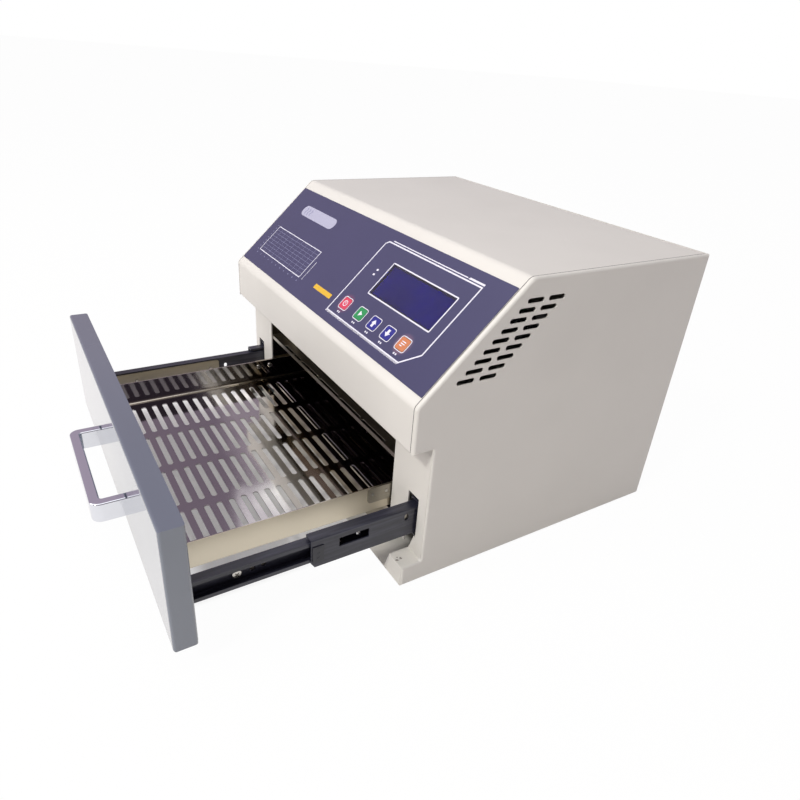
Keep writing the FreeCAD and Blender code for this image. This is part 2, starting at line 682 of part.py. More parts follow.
def wiring_loom():
    """Leads from the inlet and the power board to the relay and the chamber."""
    top = DECK_BOTTOM + SHEET
    inlet_z = INLET_CENTRE[1]
    return [
        wire([(-120, 264.9, inlet_z), (-120, 254, inlet_z), (-120, 254, top + 40), (-104, 241, top + 40),
              (-104, 241, top + 18.2)], 1.6, 6.0),
        wire([(-70, 241, top + 18.2), (-70, 241, top + 45), (98, 241, top + 45), (98, 218, top + 45),
              (98, 218, top + 28.2)], 1.6, 8.0),
        wire([(14, 220, top + 24.2), (14, 220, top + 40), (14, 60, top + 40), (14, 56, top + 16)], 2.2, 7.0),
    ]


def mains_inlet():
    """Three-pin appliance inlet with a screw flange."""
    x, z = INLET_CENTRE
    flange = slab_y([(x - 25, z - 6, 3), (x - 14, z - 12, 2), (x + 14, z - 12, 2), (x + 25, z - 6, 3),
                     (x + 25, z + 6, 3), (x + 14, z + 12, 2), (x - 14, z + 12, 2), (x - 25, z + 6, 3)],
                    DEPTH, DEPTH + 3)
    body = slab_y(rectangle(x - 13.7, x + 13.7, z - 9.9, z + 9.9, 1.5), DEPTH - 22, DEPTH + 1)
    socket = slab_y([(x - 12, z - 8), (x + 12, z - 8), (x + 12, z + 4), (x + 8.5, z + 8), (x - 8.5, z + 8),
                     (x - 12, z + 4)], DEPTH - 14, DEPTH + 4)
    inlet = flange.fuse(body).cut(socket)
    blades = [box(x + dx - 1, x + dx + 1, DEPTH - 15, DEPTH - 1, z + dz - 2, z + dz + 2)
              for dx, dz in ((-7, -1.5), (7, -1.5), (0, 2.5))]
    inlet = join([inlet] + blades)
    for side in (-1, 1):
        inlet = inlet.cut(rod(1.7, (x + side * 20, DEPTH - 1, z), (x + side * 20, DEPTH + 4, z)))
    return inlet


def switch_housing():
    x, z = SWITCH_CENTRE
    bezel = slab_y(rectangle(x - 7.8, x + 7.8, z - 11, z + 11, 1.2), DEPTH, DEPTH + 2)
    body = slab_y(rectangle(x - 6.4, x + 6.4, z - 9.5, z + 9.5, 0.5), DEPTH - 16, DEPTH + 1)
    well = slab_y(rectangle(x - 5.2, x + 5.2, z - 8.6, z + 8.6, 0.4), DEPTH - 9, DEPTH + 3)
    housing = bezel.fuse(body).cut(well)
    pin = rod(0.8, (x - 5.3, DEPTH - 3, z), (x + 5.3, DEPTH - 3, z))
    return join([housing, pin])


def switch_rocker():
    """Rocker that swings on the housing's pin, drawn in its off position."""
    x, z = SWITCH_CENTRE
    rocker = slab_x([(DEPTH - 7.0, z - 3, 0.8), (DEPTH + 2.6, z - 7.6, 0.6), (DEPTH + 1.0, z),
                     (DEPTH + 2.6, z + 7.6, 0.6), (DEPTH - 7.0, z + 3, 0.8)], x - 4.8, x + 4.8)
    rocker = rocker.cut(rod(0.86, (x - 6, DEPTH - 3, z), (x + 6, DEPTH - 3, z)))
    rocker.rotate(Vector(x, DEPTH - 3, z), Vector(1, 0, 0), -9)
    return rocker


def fuse_holder():
    x, z = FUSE_CENTRE
    body = rod(6.0, (x, DEPTH - 28, z), (x, DEPTH + 0.5, z))
    collar = rod(8.0, (x, DEPTH, z), (x, DEPTH + 2, z))
    cap = rod(5.6, (x, DEPTH + 2, z), (x, DEPTH + 7, z))
    cap = round_edges(cap, 0.8, lambda e: in_plane(e, "Y", DEPTH + 7))
    cap = cap.cut(box(x - 4, x + 4, DEPTH + 5.6, DEPTH + 8, z - 0.6, z + 0.6))
    return join([body, collar, cap])


# ---- slides -------------------------------------------------------------------------------
def from_face(depth):
    """x of a plane this deep behind the slide's outboard face."""
    return SLIDE_FACE - depth


def slide_box(depth0, depth1, z0, z1, start, length):
    """Box in slide terms, with z from the slide's centre line."""
    return box(from_face(depth1), from_face(depth0), start, start + length,
               SLIDE_CENTRE + z0, SLIDE_CENTRE + z1)


def channel(web, lips, half_height, lip_reach, start):
    """Channel section: web and lips are (depth, depth) pairs, and the lips turn inwards or outwards."""
    t = SLIDE_SHEET
    near = min(web[0], lips[0])
    far = max(web[1], lips[1])
    parts = [slide_box(web[0], web[1], -half_height, half_height, start, SLIDE_LENGTH)]
    for side in (-1, 1):
        outer = side * half_height
        inner = side * (half_height - t)
        parts.append(slide_box(near, far, min(outer, inner), max(outer, inner), start, SLIDE_LENGTH))
        edge = side * (half_height - lip_reach)
        parts.append(slide_box(lips[0], lips[1], min(outer, edge), max(outer, edge), start, SLIDE_LENGTH))
    return join(parts)


def slide_hole(y, z, length, width):
    """Round-ended cut through a member, upright where the length is along z."""
    if length <= width:
        return rod(width / 2, (from_face(20), y, z), (from_face(-5), y, z))
    return slab_x(rectangle(y - width / 2, y + width / 2, z - length / 2, z + length / 2, width / 2 - 0.001),
                  from_face(20), from_face(-5))


def slide_outer():
    member = channel((0.0, 1.2), (11.0, 12.2), OUTER_HALF, 2.6, OUTER_START)
    member = round_edges(member, 1.0, lambda e: along(e, "Y") and in_plane(e, "X", from_face(0)))
    for y in (35, 120, 215):
        member = member.cut(slide_hole(OUTER_START + y, SLIDE_CENTRE, 5, 5))
    return member


def slide_middle():
    """Middle member, with its long window and its oblong hole."""
    member = channel((2.4, 3.6), (10.6, 11.6), MIDDLE_HALF, 2.0, MIDDLE_START)
    member = round_edges(member, 1.0, lambda e: along(e, "Y") and in_plane(e, "X", from_face(2.4)))
    window = slab_x(rectangle(MIDDLE_START + 22.9, MIDDLE_START + 48.1, 51.2, 59.4, 0.6),
                    from_face(20), from_face(-5))
    member = member.cut(window)
    member = member.cut(slide_hole(MIDDLE_START + 81.7, 57.6, 6.3, 3.7))
    bevel = slab_x([(MIDDLE_START - 1, 37.4), (MIDDLE_START + 4, 37.4), (MIDDLE_START - 1, 45.0)],
                   from_face(20), from_face(-5))
    return member.cut(bevel)


def slide_inner():
    """Inner member, fixed to the drawer: screw holes, an oblong hole and small round holes."""
    member = channel((11.5, 12.7), (4.8, 5.8), INNER_HALF, 3.2, INNER_START)
    for y, length, width in ((51.0, 3.4, 3.4), (62.7, 6.0, 3.5), (71.2, 4.0, 4.0), (130.2, 3.4, 3.4),
                             (147.8, 6.5, 3.4), (200.0, 3.4, 3.4)):
        member = member.cut(slide_hole(y, HOLE_LINE, length, width))
    return member


def retainer(strip, ball_radius, bridge, start, length):
    """Ball cage: two strips of balls, above and below, and the bridge between them."""
    low, high = strip
    parts = []
    balls = []
    for side in (-1, 1):
        z0 = side * (low - 0.3)
        z1 = side * (low + 0.3)
        parts.append(slide_box(bridge[0], high, min(z0, z1), max(z0, z1), start, length))
        count = int(length // 8)
        for i in range(count):
            y = start + length * (i + 0.5) / count
            centre = Vector(from_face((bridge[1] + high) / 2 + 0.4), y, SLIDE_CENTRE + side * low)
            balls.append(Part.makeSphere(ball_radius, centre))
    parts.append(slide_box(bridge[0], bridge[1], -low - 0.3, low + 0.3, start, length))
    cage = join(parts)
    sockets = [Part.makeSphere(ball_radius + 0.05, ball.BoundBox.Center) for ball in balls]
    return [cage.cut(Part.makeCompound(sockets))] + balls


def outer_retainer():
    return retainer((14.75, 9.5), 1.3, (1.5, 2.1), 85.0, 60.0)


def inner_retainer(start, length):
    return retainer((10.6, 9.5), 1.15, (3.9, 4.5), start, length)


def middle_bumper():
    """Plastic stop clipped to the front of the middle member."""
    plate = slide_box(1.6, 2.3, -7.0, 7.0, MIDDLE_START + 1.0, 9.0)
    knobs = [rod(1.4, (from_face(1.7), MIDDLE_START + 6.0, SLIDE_CENTRE + z),
                 (from_face(1.45), MIDDLE_START + 6.0, SLIDE_CENTRE + z)) for z in (-4.6, 0.0, 4.6)]
    return join([plate] + knobs)


def release_lever():
    """Disconnect lever inside the inner member's channel, on a pin near its front."""
    lever = slab_x([(190, 48.5, 1.5), (232, 50.1, 1.2), (232, 52.9, 1.2), (206, 55.9, 2), (190, 54.7, 1.5)],
                   from_face(11.0), from_face(8.6))
    return lever


# ---- drawer -----------------------------------------------------------------------------------
def drawer_skin():
    """Folded front box, open at the back."""
    skin = box(-HALF, HALF, 0, PANEL_DEPTH, PANEL_BOTTOM, PANEL_TOP)
    skin = round_edges(skin, PANEL_ROUND, lambda e: along(e, "Z") or in_plane(e, "Y", 0))
    skin = skin.cut(box(-HALF + SHEET, HALF - SHEET, SHEET, PANEL_DEPTH + 1,
                        PANEL_BOTTOM + SHEET, PANEL_TOP - SHEET))
    for x, z in handle_feet():
        skin = skin.cut(rod(2.6, (x, -1, z), (x, 3, z)))
    return skin


def drawer_insulation():
    gap = SHEET + 1.3
    pad = box(-HALF + gap, HALF - gap, SHEET + 0.1, PANEL_DEPTH - SHEET - 0.1,
              PANEL_BOTTOM + gap, PANEL_TOP - gap)
    for x, z in handle_feet():
        pad = pad.cut(rod(6.0, (x, 0, z), (x, 6, z)))
    return pad


def drawer_back_plate():
    gap = SHEET + 0.2
    plate = slab_y(rectangle(-HALF + gap, HALF - gap, PANEL_BOTTOM + gap, PANEL_TOP - gap, 1.0),
                   PANEL_DEPTH - SHEET, PANEL_DEPTH)
    for x, z in tray_screw_places():
        plate = plate.cut(rod(1.6, (x, PANEL_DEPTH - 3, z), (x, PANEL_DEPTH + 1, z)))
    return plate


def handle_feet():
    x = HANDLE_HALF - HANDLE_BAR / 2
    z = (HANDLE_BOTTOM + HANDLE_TOP) / 2
    return [(-x, z), (x, z)]


def handle():
    """Flat-section bow handle with rounded corners."""
    bow = slab_z([(-HANDLE_HALF, 0), (-HANDLE_HALF, -HANDLE_REACH, HANDLE_ROUND),
                  (HANDLE_HALF, -HANDLE_REACH, HANDLE_ROUND), (HANDLE_HALF, 0)], HANDLE_BOTTOM, HANDLE_TOP)
    inner = HANDLE_HALF - HANDLE_BAR
    gap = slab_z([(-inner, 1), (-inner, HANDLE_BAR - HANDLE_REACH, 2.0),
                  (inner, HANDLE_BAR - HANDLE_REACH, 2.0), (inner, 1)], HANDLE_BOTTOM - 1, HANDLE_TOP + 1)
    bow = bow.cut(gap)
    bow = round_edges(bow, 1.2, lambda e: in_plane(e, "Z", HANDLE_TOP) or in_plane(e, "Z", HANDLE_BOTTOM))
    for x, z in handle_feet():
        bow = bow.cut(rod(2.1, (x, -10, z), (x, 1, z)))
    return bow


def tray_screw_places():
    return [(x, z) for x in (-100.0, -35.0, 35.0, 100.0) for z in (54.0,)]


def tray_bracket_places():
    """y and z of the screws that hold a bracket on the tray's side wall."""
    return [(OPEN + 0.5, 56.8), (OPEN + 13.6, 56.8)]


def tray():
    """Slotted pan with upturned edges."""
    t = TRAY_SHEET
    front = PANEL_DEPTH
    pan = box(-TRAY_HALF, TRAY_HALF, front, TRAY_END, TRAY_BOTTOM, TRAY_TOP)
    pan = round_edges(pan, 1.6, lambda e: along(e, "Y") and in_plane(e, "Z", TRAY_BOTTOM))
    pan = pan.cut(box(-TRAY_HALF + t, TRAY_HALF - t, front + t, TRAY_END - t, TRAY_BOTTOM + t, TRAY_TOP + 1))
    pan = pan.cut(box(-TRAY_HALF + 8, TRAY_HALF - 8, TRAY_END - 2 * t, TRAY_END + 1, TRAY_BOTTOM + 8, TRAY_TOP + 1))
    slots = []
    for row in range(TRAY_ROWS):
        y = TRAY_FIRST_ROW + row * TRAY_ROW_PITCH
        for x in TRAY_COLUMNS:
            slots.append(slab_z(obround(x, y, *TRAY_SLOT), TRAY_BOTTOM - 1, TRAY_BOTTOM + 3))
    for x, z in tray_screw_places():
        slots.append(rod(1.6, (x, front - 1, z), (x, front + 3, z)))
    for y, z in tray_bracket_places():
        slots.append(rod(1.6, (-TRAY_HALF - 1, y, z), (TRAY_HALF + 1, y, z)))
    return pan.cut(Part.makeCompound(slots))


def tray_brackets():
    """Stop plates outside the tray's side walls."""
    y0 = OPEN - 4.0
    plate = slab_x(rectangle(y0, y0 + 28, 48.5, TRAY_TOP, 3.0), TRAY_HALF, TRAY_HALF + 1.2)
    for y, z in tray_bracket_places():
        plate = plate.cut(rod(1.6, (TRAY_HALF - 1, y, z), (TRAY_HALF + 3, y, z)))
    return [plate, mirror(plate)]


def slide_screw_places():
    return [(51.0, HOLE_LINE), (130.2, HOLE_LINE)]


def slide_brackets():
    """Angle plates between the drawer's front and the inner members."""
    face = from_face(12.7)
    plate = slab_x(rectangle(PANEL_DEPTH + 0.01, 140.0, 44.0, 59.5, 3.0), face - 1.2, face)
    foot = box(face - 18, face, PANEL_DEPTH, PANEL_DEPTH + 1.2, 44.0, 59.5)
    bracket = join([plate, foot])
    for y, z in slide_screw_places():
        bracket = bracket.cut(rod(1.7, (face - 3, y, z), (face + 1, y, z)))
    return [bracket, mirror(bracket)]


def drawer_screws():
    """Screws of the slide brackets, the tray, its brackets and the handle."""
    screws = []
    slide_screw = pan_screw(3.7, 2.2, 1.5, 2.9)
    small_screw = pan_screw(2.8, 1.7, 1.4, 2.4)
    for y, z in slide_screw_places():
        screws.append(aimed(slide_screw, (from_face(11.5), y, z), (1, 0, 0)))
    for y, z in tray_bracket_places():
        screws.append(aimed(small_screw, (TRAY_HALF - TRAY_SHEET, y, z), (-1, 0, 0)))
    pairs = screws + [mirror(screw) for screw in screws]
    fronts = [aimed(small_screw, (x, PANEL_DEPTH + TRAY_SHEET, z), (0, 1, 0)) for x, z in tray_screw_places()]
    bolt = join([Part.makeCylinder(5.0, 3.0), Part.makeCylinder(2.0, 10.0, Vector(0, 0, -10))])
    bolts = [aimed(bolt, (x, SHEET, z), (0, 1, 0)) for x, z in handle_feet()]
    return pairs + fronts + bolts


# ---- writing the nodes -----------------------------------------------------------------------------
def write_pair(name, shape, travel_left=0.0, travel_right=0.0, left=None):
    """Saves a right-hand piece and its mirror image, each with its own travel."""
    right = shape if isinstance(shape, list) else [shape]
    source = left if left is not None else right
    save(name + "_right", right, travel_right)
    save(name + "_left", [mirror(part) for part in source], travel_left)


def main():
    os.makedirs("parts", exist_ok=True)

    write_pair("side_panel", side_panel())
    save("top_cover", top_cover())
    save("base_pan", base_pan())
    save("rear_panel", rear_panel())
    save("casing_screws", casing_screws())
    write_pair("slide_carrier", slide_carrier())
    save("electronics_deck", electronics_deck())

    save("chamber_shell", chamber_shell())
    save("heater_guard", heater_guard())
    save("heater_reflector", heater_reflector())
    save("heater_tubes", heater_tubes())
    save("heater_caps", heater_caps())
    save("thermocouple", thermocouple())
    save("top_insulation", top_insulation())
    save("side_insulation", side_insulation())

    save("fan_frame", fan_frame())
    save("fan_rotor", fan_rotor())
    save("fan_guard", fan_guard())

    save("control_overlay", control_overlay())
    save("display_window", display_window())
    save("display_module", display_module())
    save("control_board", control_board())
    save("board_standoffs", board_standoffs())
    save("key_switches", key_switches())
    for name, x in KEYS.items():
        save(name, key_cap(x))

    save("power_board", power_board())
    save("relay_block", relay_block())
    save("wiring_loom", wiring_loom())
    save("mains_inlet", mains_inlet())
    save("switch_housing", switch_housing())
    save("switch_rocker", switch_rocker())
    save("fuse_holder", fuse_holder())

    write_pair("slide_outer", slide_outer())
    write_pair("slide_middle", slide_middle(), OPEN * RATIO_LEFT, OPEN * RATIO_RIGHT)
    write_pair("middle_bumper", middle_bumper(), OPEN * RATIO_LEFT, OPEN * RATIO_RIGHT)
    write_pair("slide_inner", slide_inner(), OPEN, OPEN)
    write_pair("outer_retainer", outer_retainer(), OPEN * RATIO_LEFT / 2, OPEN * RATIO_RIGHT / 2)
    write_pair("inner_retainer", inner_retainer(118.0, 60.0), OPEN * (1 + RATIO_LEFT) / 2,
               OPEN * (1 + RATIO_RIGHT) / 2, left=inner_retainer(125.0, 36.0))
    write_pair("release_lever", release_lever(), OPEN, OPEN)

    save("drawer_skin", drawer_skin(), OPEN)
    save("drawer_insulation", drawer_insulation(), OPEN)
    save("drawer_back_plate", drawer_back_plate(), OPEN)
    save("handle", handle(), OPEN)
    save("tray", tray(), OPEN)
    save("tray_brackets", tray_brackets(), OPEN)
    save("slide_brackets", slide_brackets(), OPEN)
    save("drawer_screws", drawer_screws(), OPEN)


main()
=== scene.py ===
import bpy
import json
import math
from mathutils import Matrix, Vector


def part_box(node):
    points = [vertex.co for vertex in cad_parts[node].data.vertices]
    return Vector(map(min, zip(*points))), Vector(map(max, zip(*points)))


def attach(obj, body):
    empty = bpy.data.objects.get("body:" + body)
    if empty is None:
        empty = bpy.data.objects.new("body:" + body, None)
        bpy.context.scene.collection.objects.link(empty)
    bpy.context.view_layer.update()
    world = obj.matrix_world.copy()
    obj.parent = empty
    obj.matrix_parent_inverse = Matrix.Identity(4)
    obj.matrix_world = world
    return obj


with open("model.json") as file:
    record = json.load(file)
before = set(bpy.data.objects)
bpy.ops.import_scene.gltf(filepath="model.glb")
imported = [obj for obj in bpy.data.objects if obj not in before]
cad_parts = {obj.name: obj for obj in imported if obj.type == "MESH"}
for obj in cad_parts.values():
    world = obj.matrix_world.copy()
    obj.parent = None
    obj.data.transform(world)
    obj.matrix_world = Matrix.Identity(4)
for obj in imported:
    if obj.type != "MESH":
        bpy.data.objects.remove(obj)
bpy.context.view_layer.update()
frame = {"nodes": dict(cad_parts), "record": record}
cadNodes = frame["nodes"]
mm = 0.001
print("frame loaded:", len(cadNodes), "nodes")


# small helpers

def linearColour(hexText):
    # sRGB hex text to the linear colour that shader sockets want
    channels = [int(hexText[i:i + 2], 16) / 255 for i in (1, 3, 5)]
    return tuple(c / 12.92 if c <= 0.04045 else ((c + 0.055) / 1.055) ** 2.4 for c in channels) + (1.0,)


def addNode(tree, kind, settings=None, links=None):
    # settings go to the node's inputs where it has them, and to its own fields otherwise
    node = tree.nodes.new(kind)
    for key, value in (settings or {}).items():
        if isinstance(key, int) or key in node.inputs:
            node.inputs[key].default_value = value
        else:
            setattr(node, key, value)
    for key, source in (links or {}).items():
        tree.links.new(source, node.inputs[key])
    return node


def makeNoise(tree, place, size, detail, more=None):
    # noise with spots about this many millimetres across
    settings = {"Scale": 1 / (size * mm), "Detail": detail, **(more or {})}
    return addNode(tree, "ShaderNodeTexNoise", settings, {"Vector": place}).outputs["Fac"]


def mixTones(tree, light, dark, share):
    # from the light colour at a share of 0 to the dark one at 1
    tones = {"data_type": "RGBA", 6: linearColour(light), 7: linearColour(dark)}
    return addNode(tree, "ShaderNodeMix", tones, {"Factor": share}).outputs[2]


def mixOver(tree, under, colour, share):
    # lays a colour over a tone that comes from another node
    return addNode(tree, "ShaderNodeMix", {"data_type": "RGBA", 7: linearColour(colour)},
                   {"Factor": share, 6: under}).outputs[2]


def makeRange(tree, value, low, high):
    # spreads a value of 0 to 1 from low to high
    return addNode(tree, "ShaderNodeMapRange", {"To Min": low, "To Max": high},
                   {"Value": value}).outputs["Result"]


def makeBump(tree, height, strength, depth):
    # depth in millimetres
    return addNode(tree, "ShaderNodeBump", {"Strength": strength, "Distance": depth * mm},
                   {"Height": height}).outputs["Normal"]


def newMaterial(name, settings):
    # a Principled material with its constants set, its tree, and the piece's own coordinates
    material = bpy.data.materials.new(name)
    material.use_nodes = True
    tree = material.node_tree
    shader = tree.nodes["Principled BSDF"]
    for key, value in settings.items():
        shader.inputs[key].default_value = value
    place = addNode(tree, "ShaderNodeTexCoord").outputs["Object"]
    return material, tree, shader, place


def plug(tree, shader, sources):
    # links each source to the shader's socket of that name
    for socket, source in sources.items():
        tree.links.new(source, shader.inputs[socket])


def deselectAll():
    if bpy.context.object and bpy.context.object.mode != "OBJECT":
        bpy.ops.object.mode_set(mode="OBJECT")
    bpy.ops.object.select_all(action="DESELECT")


def pickEdges(piece, wanted):
    # selects edges of the piece being edited by a test on their two ends
    bpy.ops.object.mode_set(mode="OBJECT")
    for item in list(piece.data.vertices) + list(piece.data.edges) + list(piece.data.polygons):
        item.select = False
    points = piece.data.vertices
    for edge in piece.data.edges:
        edge.select = wanted(points[edge.vertices[0]].co, points[edge.vertices[1]].co)
    bpy.ops.object.mode_set(mode="EDIT")
    bpy.ops.mesh.select_mode(type="EDGE")


def flatPlate(name, x0, x1, y0, y1):
    # a one-face plate on the drawing plane, millimetres in, left in edit mode with all selected
    deselectAll()
    bpy.ops.mesh.primitive_plane_add(size=1, location=((x0 + x1) / 2 * mm, (y0 + y1) / 2 * mm, 0))
    plate = bpy.context.object
    plate.name = name
    plate.scale = ((x1 - x0) * mm, (y1 - y0) * mm, 1)
    bpy.ops.object.transform_apply(location=True, rotation=True, scale=True)
    bpy.ops.object.mode_set(mode="EDIT")
    bpy.ops.mesh.select_all(action="SELECT")
    return plate


def roundCorners(radius, segments=5):
    bpy.ops.mesh.bevel(offset=radius * mm, segments=segments, affect="VERTICES")
    bpy.ops.mesh.select_all(action="SELECT")


def hollowOut(width):
    # leaves a rim of this width where the selected face was
    bpy.ops.mesh.inset(thickness=width * mm)
    bpy.ops.mesh.delete(type="FACE")
    bpy.ops.mesh.select_all(action="SELECT")


def thicken(height):
    # turns the flat faces into a closed layer of ink or film
    bpy.ops.mesh.select_all(action="SELECT")
    bpy.ops.mesh.extrude_region_move(TRANSFORM_OT_translate={"value": (0, 0, height * mm)})
    bpy.ops.mesh.select_all(action="SELECT")
    bpy.ops.mesh.normals_make_consistent(inside=False)
    bpy.ops.object.mode_set(mode="OBJECT")


def joinPieces(name, pieces):
    deselectAll()
    for piece in pieces:
        piece.select_set(True)
    bpy.context.view_layer.objects.active = pieces[0]
    if len(pieces) > 1:
        bpy.ops.object.join()
    joined = bpy.context.object
    joined.name = name
    joined.data.name = name
    return joined


def layOnSlope(piece, lift=0.0):
    # from the flat drawing, measured from the slope's top edge, to the control face
    deselectAll()
    piece.matrix_world = slopePlace @ Matrix.Translation((0, 0, lift * mm))
    piece.select_set(True)
    bpy.context.view_layer.objects.active = piece
    bpy.ops.object.transform_apply(location=True, rotation=True, scale=True)


def dress(name, material):
    # gives a CAD node or a new piece its material
    piece = bpy.data.objects[name]
    piece.data.materials.clear()
    piece.data.materials.append(material)


# control face placement

slope = {"rise": 84.0, "run": 88.5, "overlayTop": 11.7, "overlaySheet": 0.5}  # mm
slopeAngle = math.atan2(slope["rise"], slope["run"])
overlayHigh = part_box("control_overlay")[1]
slopePlace = (
    Matrix.Translation((0, overlayHigh.y - slope["overlaySheet"] * mm * math.sin(slopeAngle), overlayHigh.z))
    @ Matrix.Rotation(slopeAngle, 4, "X")
    @ Matrix.Translation((0, slope["overlayTop"] * mm, 0))
)


def slopeDrawing(tree, place):
    # the same flat drawing coordinates for a material, in metres
    back = slopePlace.inverted()
    turn = back.to_euler()
    moved = addNode(tree, "ShaderNodeMapping", {"vector_type": "POINT", "Location": back.to_translation(),
                                               "Rotation": (turn.x, turn.y, turn.z)}, {"Vector": place})
    return moved.outputs["Vector"]


# camera, light and floor

camera = {"place": (0.4909, -0.3627, 0.3736), "heading": 56.27, "tilt": 61.65, "roll": 4.706, "lens": 28.34}


def placeCamera():
    data = bpy.data.cameras.new("camera")
    data.lens = camera["lens"]
    data.sensor_width = 36.0
    data.clip_start = 0.01
    view = bpy.data.objects.new("camera", data)
    bpy.context.scene.collection.objects.link(view)
    turn = Matrix.Rotation(math.radians(camera["heading"]), 4, "Z")
    turn = turn @ Matrix.Rotation(math.radians(camera["tilt"]), 4, "X")
    turn = turn @ Matrix.Rotation(math.radians(camera["roll"]), 4, "Z")
    view.matrix_world = Matrix.Translation(camera["place"]) @ turn
    bpy.context.scene.camera = view


lights = {
    "key": {"place": (0.72, -1.9, 2.0), "size": 0.35, "power": 34.0, "tint": "#fffdf8"},
    "front": {"place": (-0.35, -2.3, 1.2), "size": 1.1, "power": 16.0, "tint": "#fffdf6"},
    "top": {"place": (-0.2, -0.5, 2.1), "size": 1.8, "power": 9.0, "tint": "#fcfaff"},
}


def placeLights():
    for name, values in lights.items():
        data = bpy.data.lights.new(name, "AREA")
        data.shape = "SQUARE"
        data.size = values["size"]
        data.energy = values["power"]
        data.color = linearColour(values["tint"])[:3]
        lamp = bpy.data.objects.new(name, data)
        bpy.context.scene.collection.objects.link(lamp)
        lamp.location = values["place"]
        lamp.rotation_euler = (Vector((0, 0, 0.1)) - lamp.location).to_track_quat("-Z", "Y").to_euler()


room = {"seen": "#ffffff", "ceiling": "#f4f3f6", "wall": "#b7a9b9", "skirting": "#c9c7cc",
        "bright": 0.95, "dim": 0.16, "from": (-0.62, -0.54, 0.57),
        "window": (157.6, 163.2, 36.4, 60.0), "windowColour": "#ffffff", "windowPower": 1.6}


def makeRoom():
    # pale to the eye; gloss sees a band of dim wall, a pale ceiling and one bright window at the back left
    world = bpy.data.worlds.new("room")
    bpy.context.scene.world = world
    world.use_nodes = True
    tree = world.node_tree
    background = tree.nodes["Background"]
    direction = addNode(tree, "ShaderNodeTexCoord").outputs["Generated"]
    axes = addNode(tree, "ShaderNodeSeparateXYZ", links={"Vector": direction})
    low = addNode(tree, "ShaderNodeMapRange", {"From Min": 0.02, "From Max": 0.2},
                  {"Value": axes.outputs["Z"]})
    high = addNode(tree, "ShaderNodeMapRange", {"From Min": 0.66, "From Max": 0.8},
                   {"Value": axes.outputs["Z"]})
    wall = mixTones(tree, room["skirting"], room["wall"], low.outputs["Result"])
    sky = mixOver(tree, wall, room["ceiling"], high.outputs["Result"])
    facing = addNode(tree, "ShaderNodeVectorMath", {"operation": "DOT_PRODUCT", 1: room["from"]},
                     {0: direction})
    share = addNode(tree, "ShaderNodeMapRange", {"From Min": -0.6, "From Max": 0.9, "To Min": room["dim"],
                                                 "To Max": room["bright"]},
                    {"Value": facing.outputs["Value"]})
    lit = addNode(tree, "ShaderNodeVectorMath", {"operation": "SCALE"},
                  {0: sky, "Scale": share.outputs["Result"]})
    turn = addNode(tree, "ShaderNodeMath", {"operation": "ARCTAN2"},
                   {0: axes.outputs["Y"], 1: axes.outputs["X"]})
    rise = addNode(tree, "ShaderNodeMath", {"operation": "ARCSINE"}, {0: axes.outputs["Z"]})
    left, right, foot, head = [math.radians(angle) for angle in room["window"]]
    across = addNode(tree, "ShaderNodeMath",
                     {"operation": "COMPARE", 1: (left + right) / 2, 2: (right - left) / 2},
                     {0: turn.outputs["Value"]})
    up = addNode(tree, "ShaderNodeMath", {"operation": "COMPARE", 1: (foot + head) / 2, 2: (head - foot) / 2},
                 {0: rise.outputs["Value"]})
    pane = addNode(tree, "ShaderNodeMath", {"operation": "MULTIPLY"},
                   {0: across.outputs["Value"], 1: up.outputs["Value"]})
    bright = [room["windowPower"] * value for value in linearColour(room["windowColour"])[:3]] + [1.0]
    glazed = addNode(tree, "ShaderNodeMix", {"data_type": "RGBA", 7: bright},
                     {"Factor": pane.outputs["Value"], 6: lit.outputs["Vector"]})
    seen = addNode(tree, "ShaderNodeLightPath").outputs["Is Camera Ray"]
    shown = mixOver(tree, glazed.outputs[2], room["seen"], seen)
    tree.links.new(shown, background.inputs["Color"])


# size in metres; edge, past and drop in mm; the others are shares of the floor's own glow
floorLook = {"size": 80, "colour": "#f4f2ef", "glow": 0.97, "shaded": 0.14, "mirrored": 0.6,
             "edge": 30.0, "past": 75.0, "drop": 0.2}


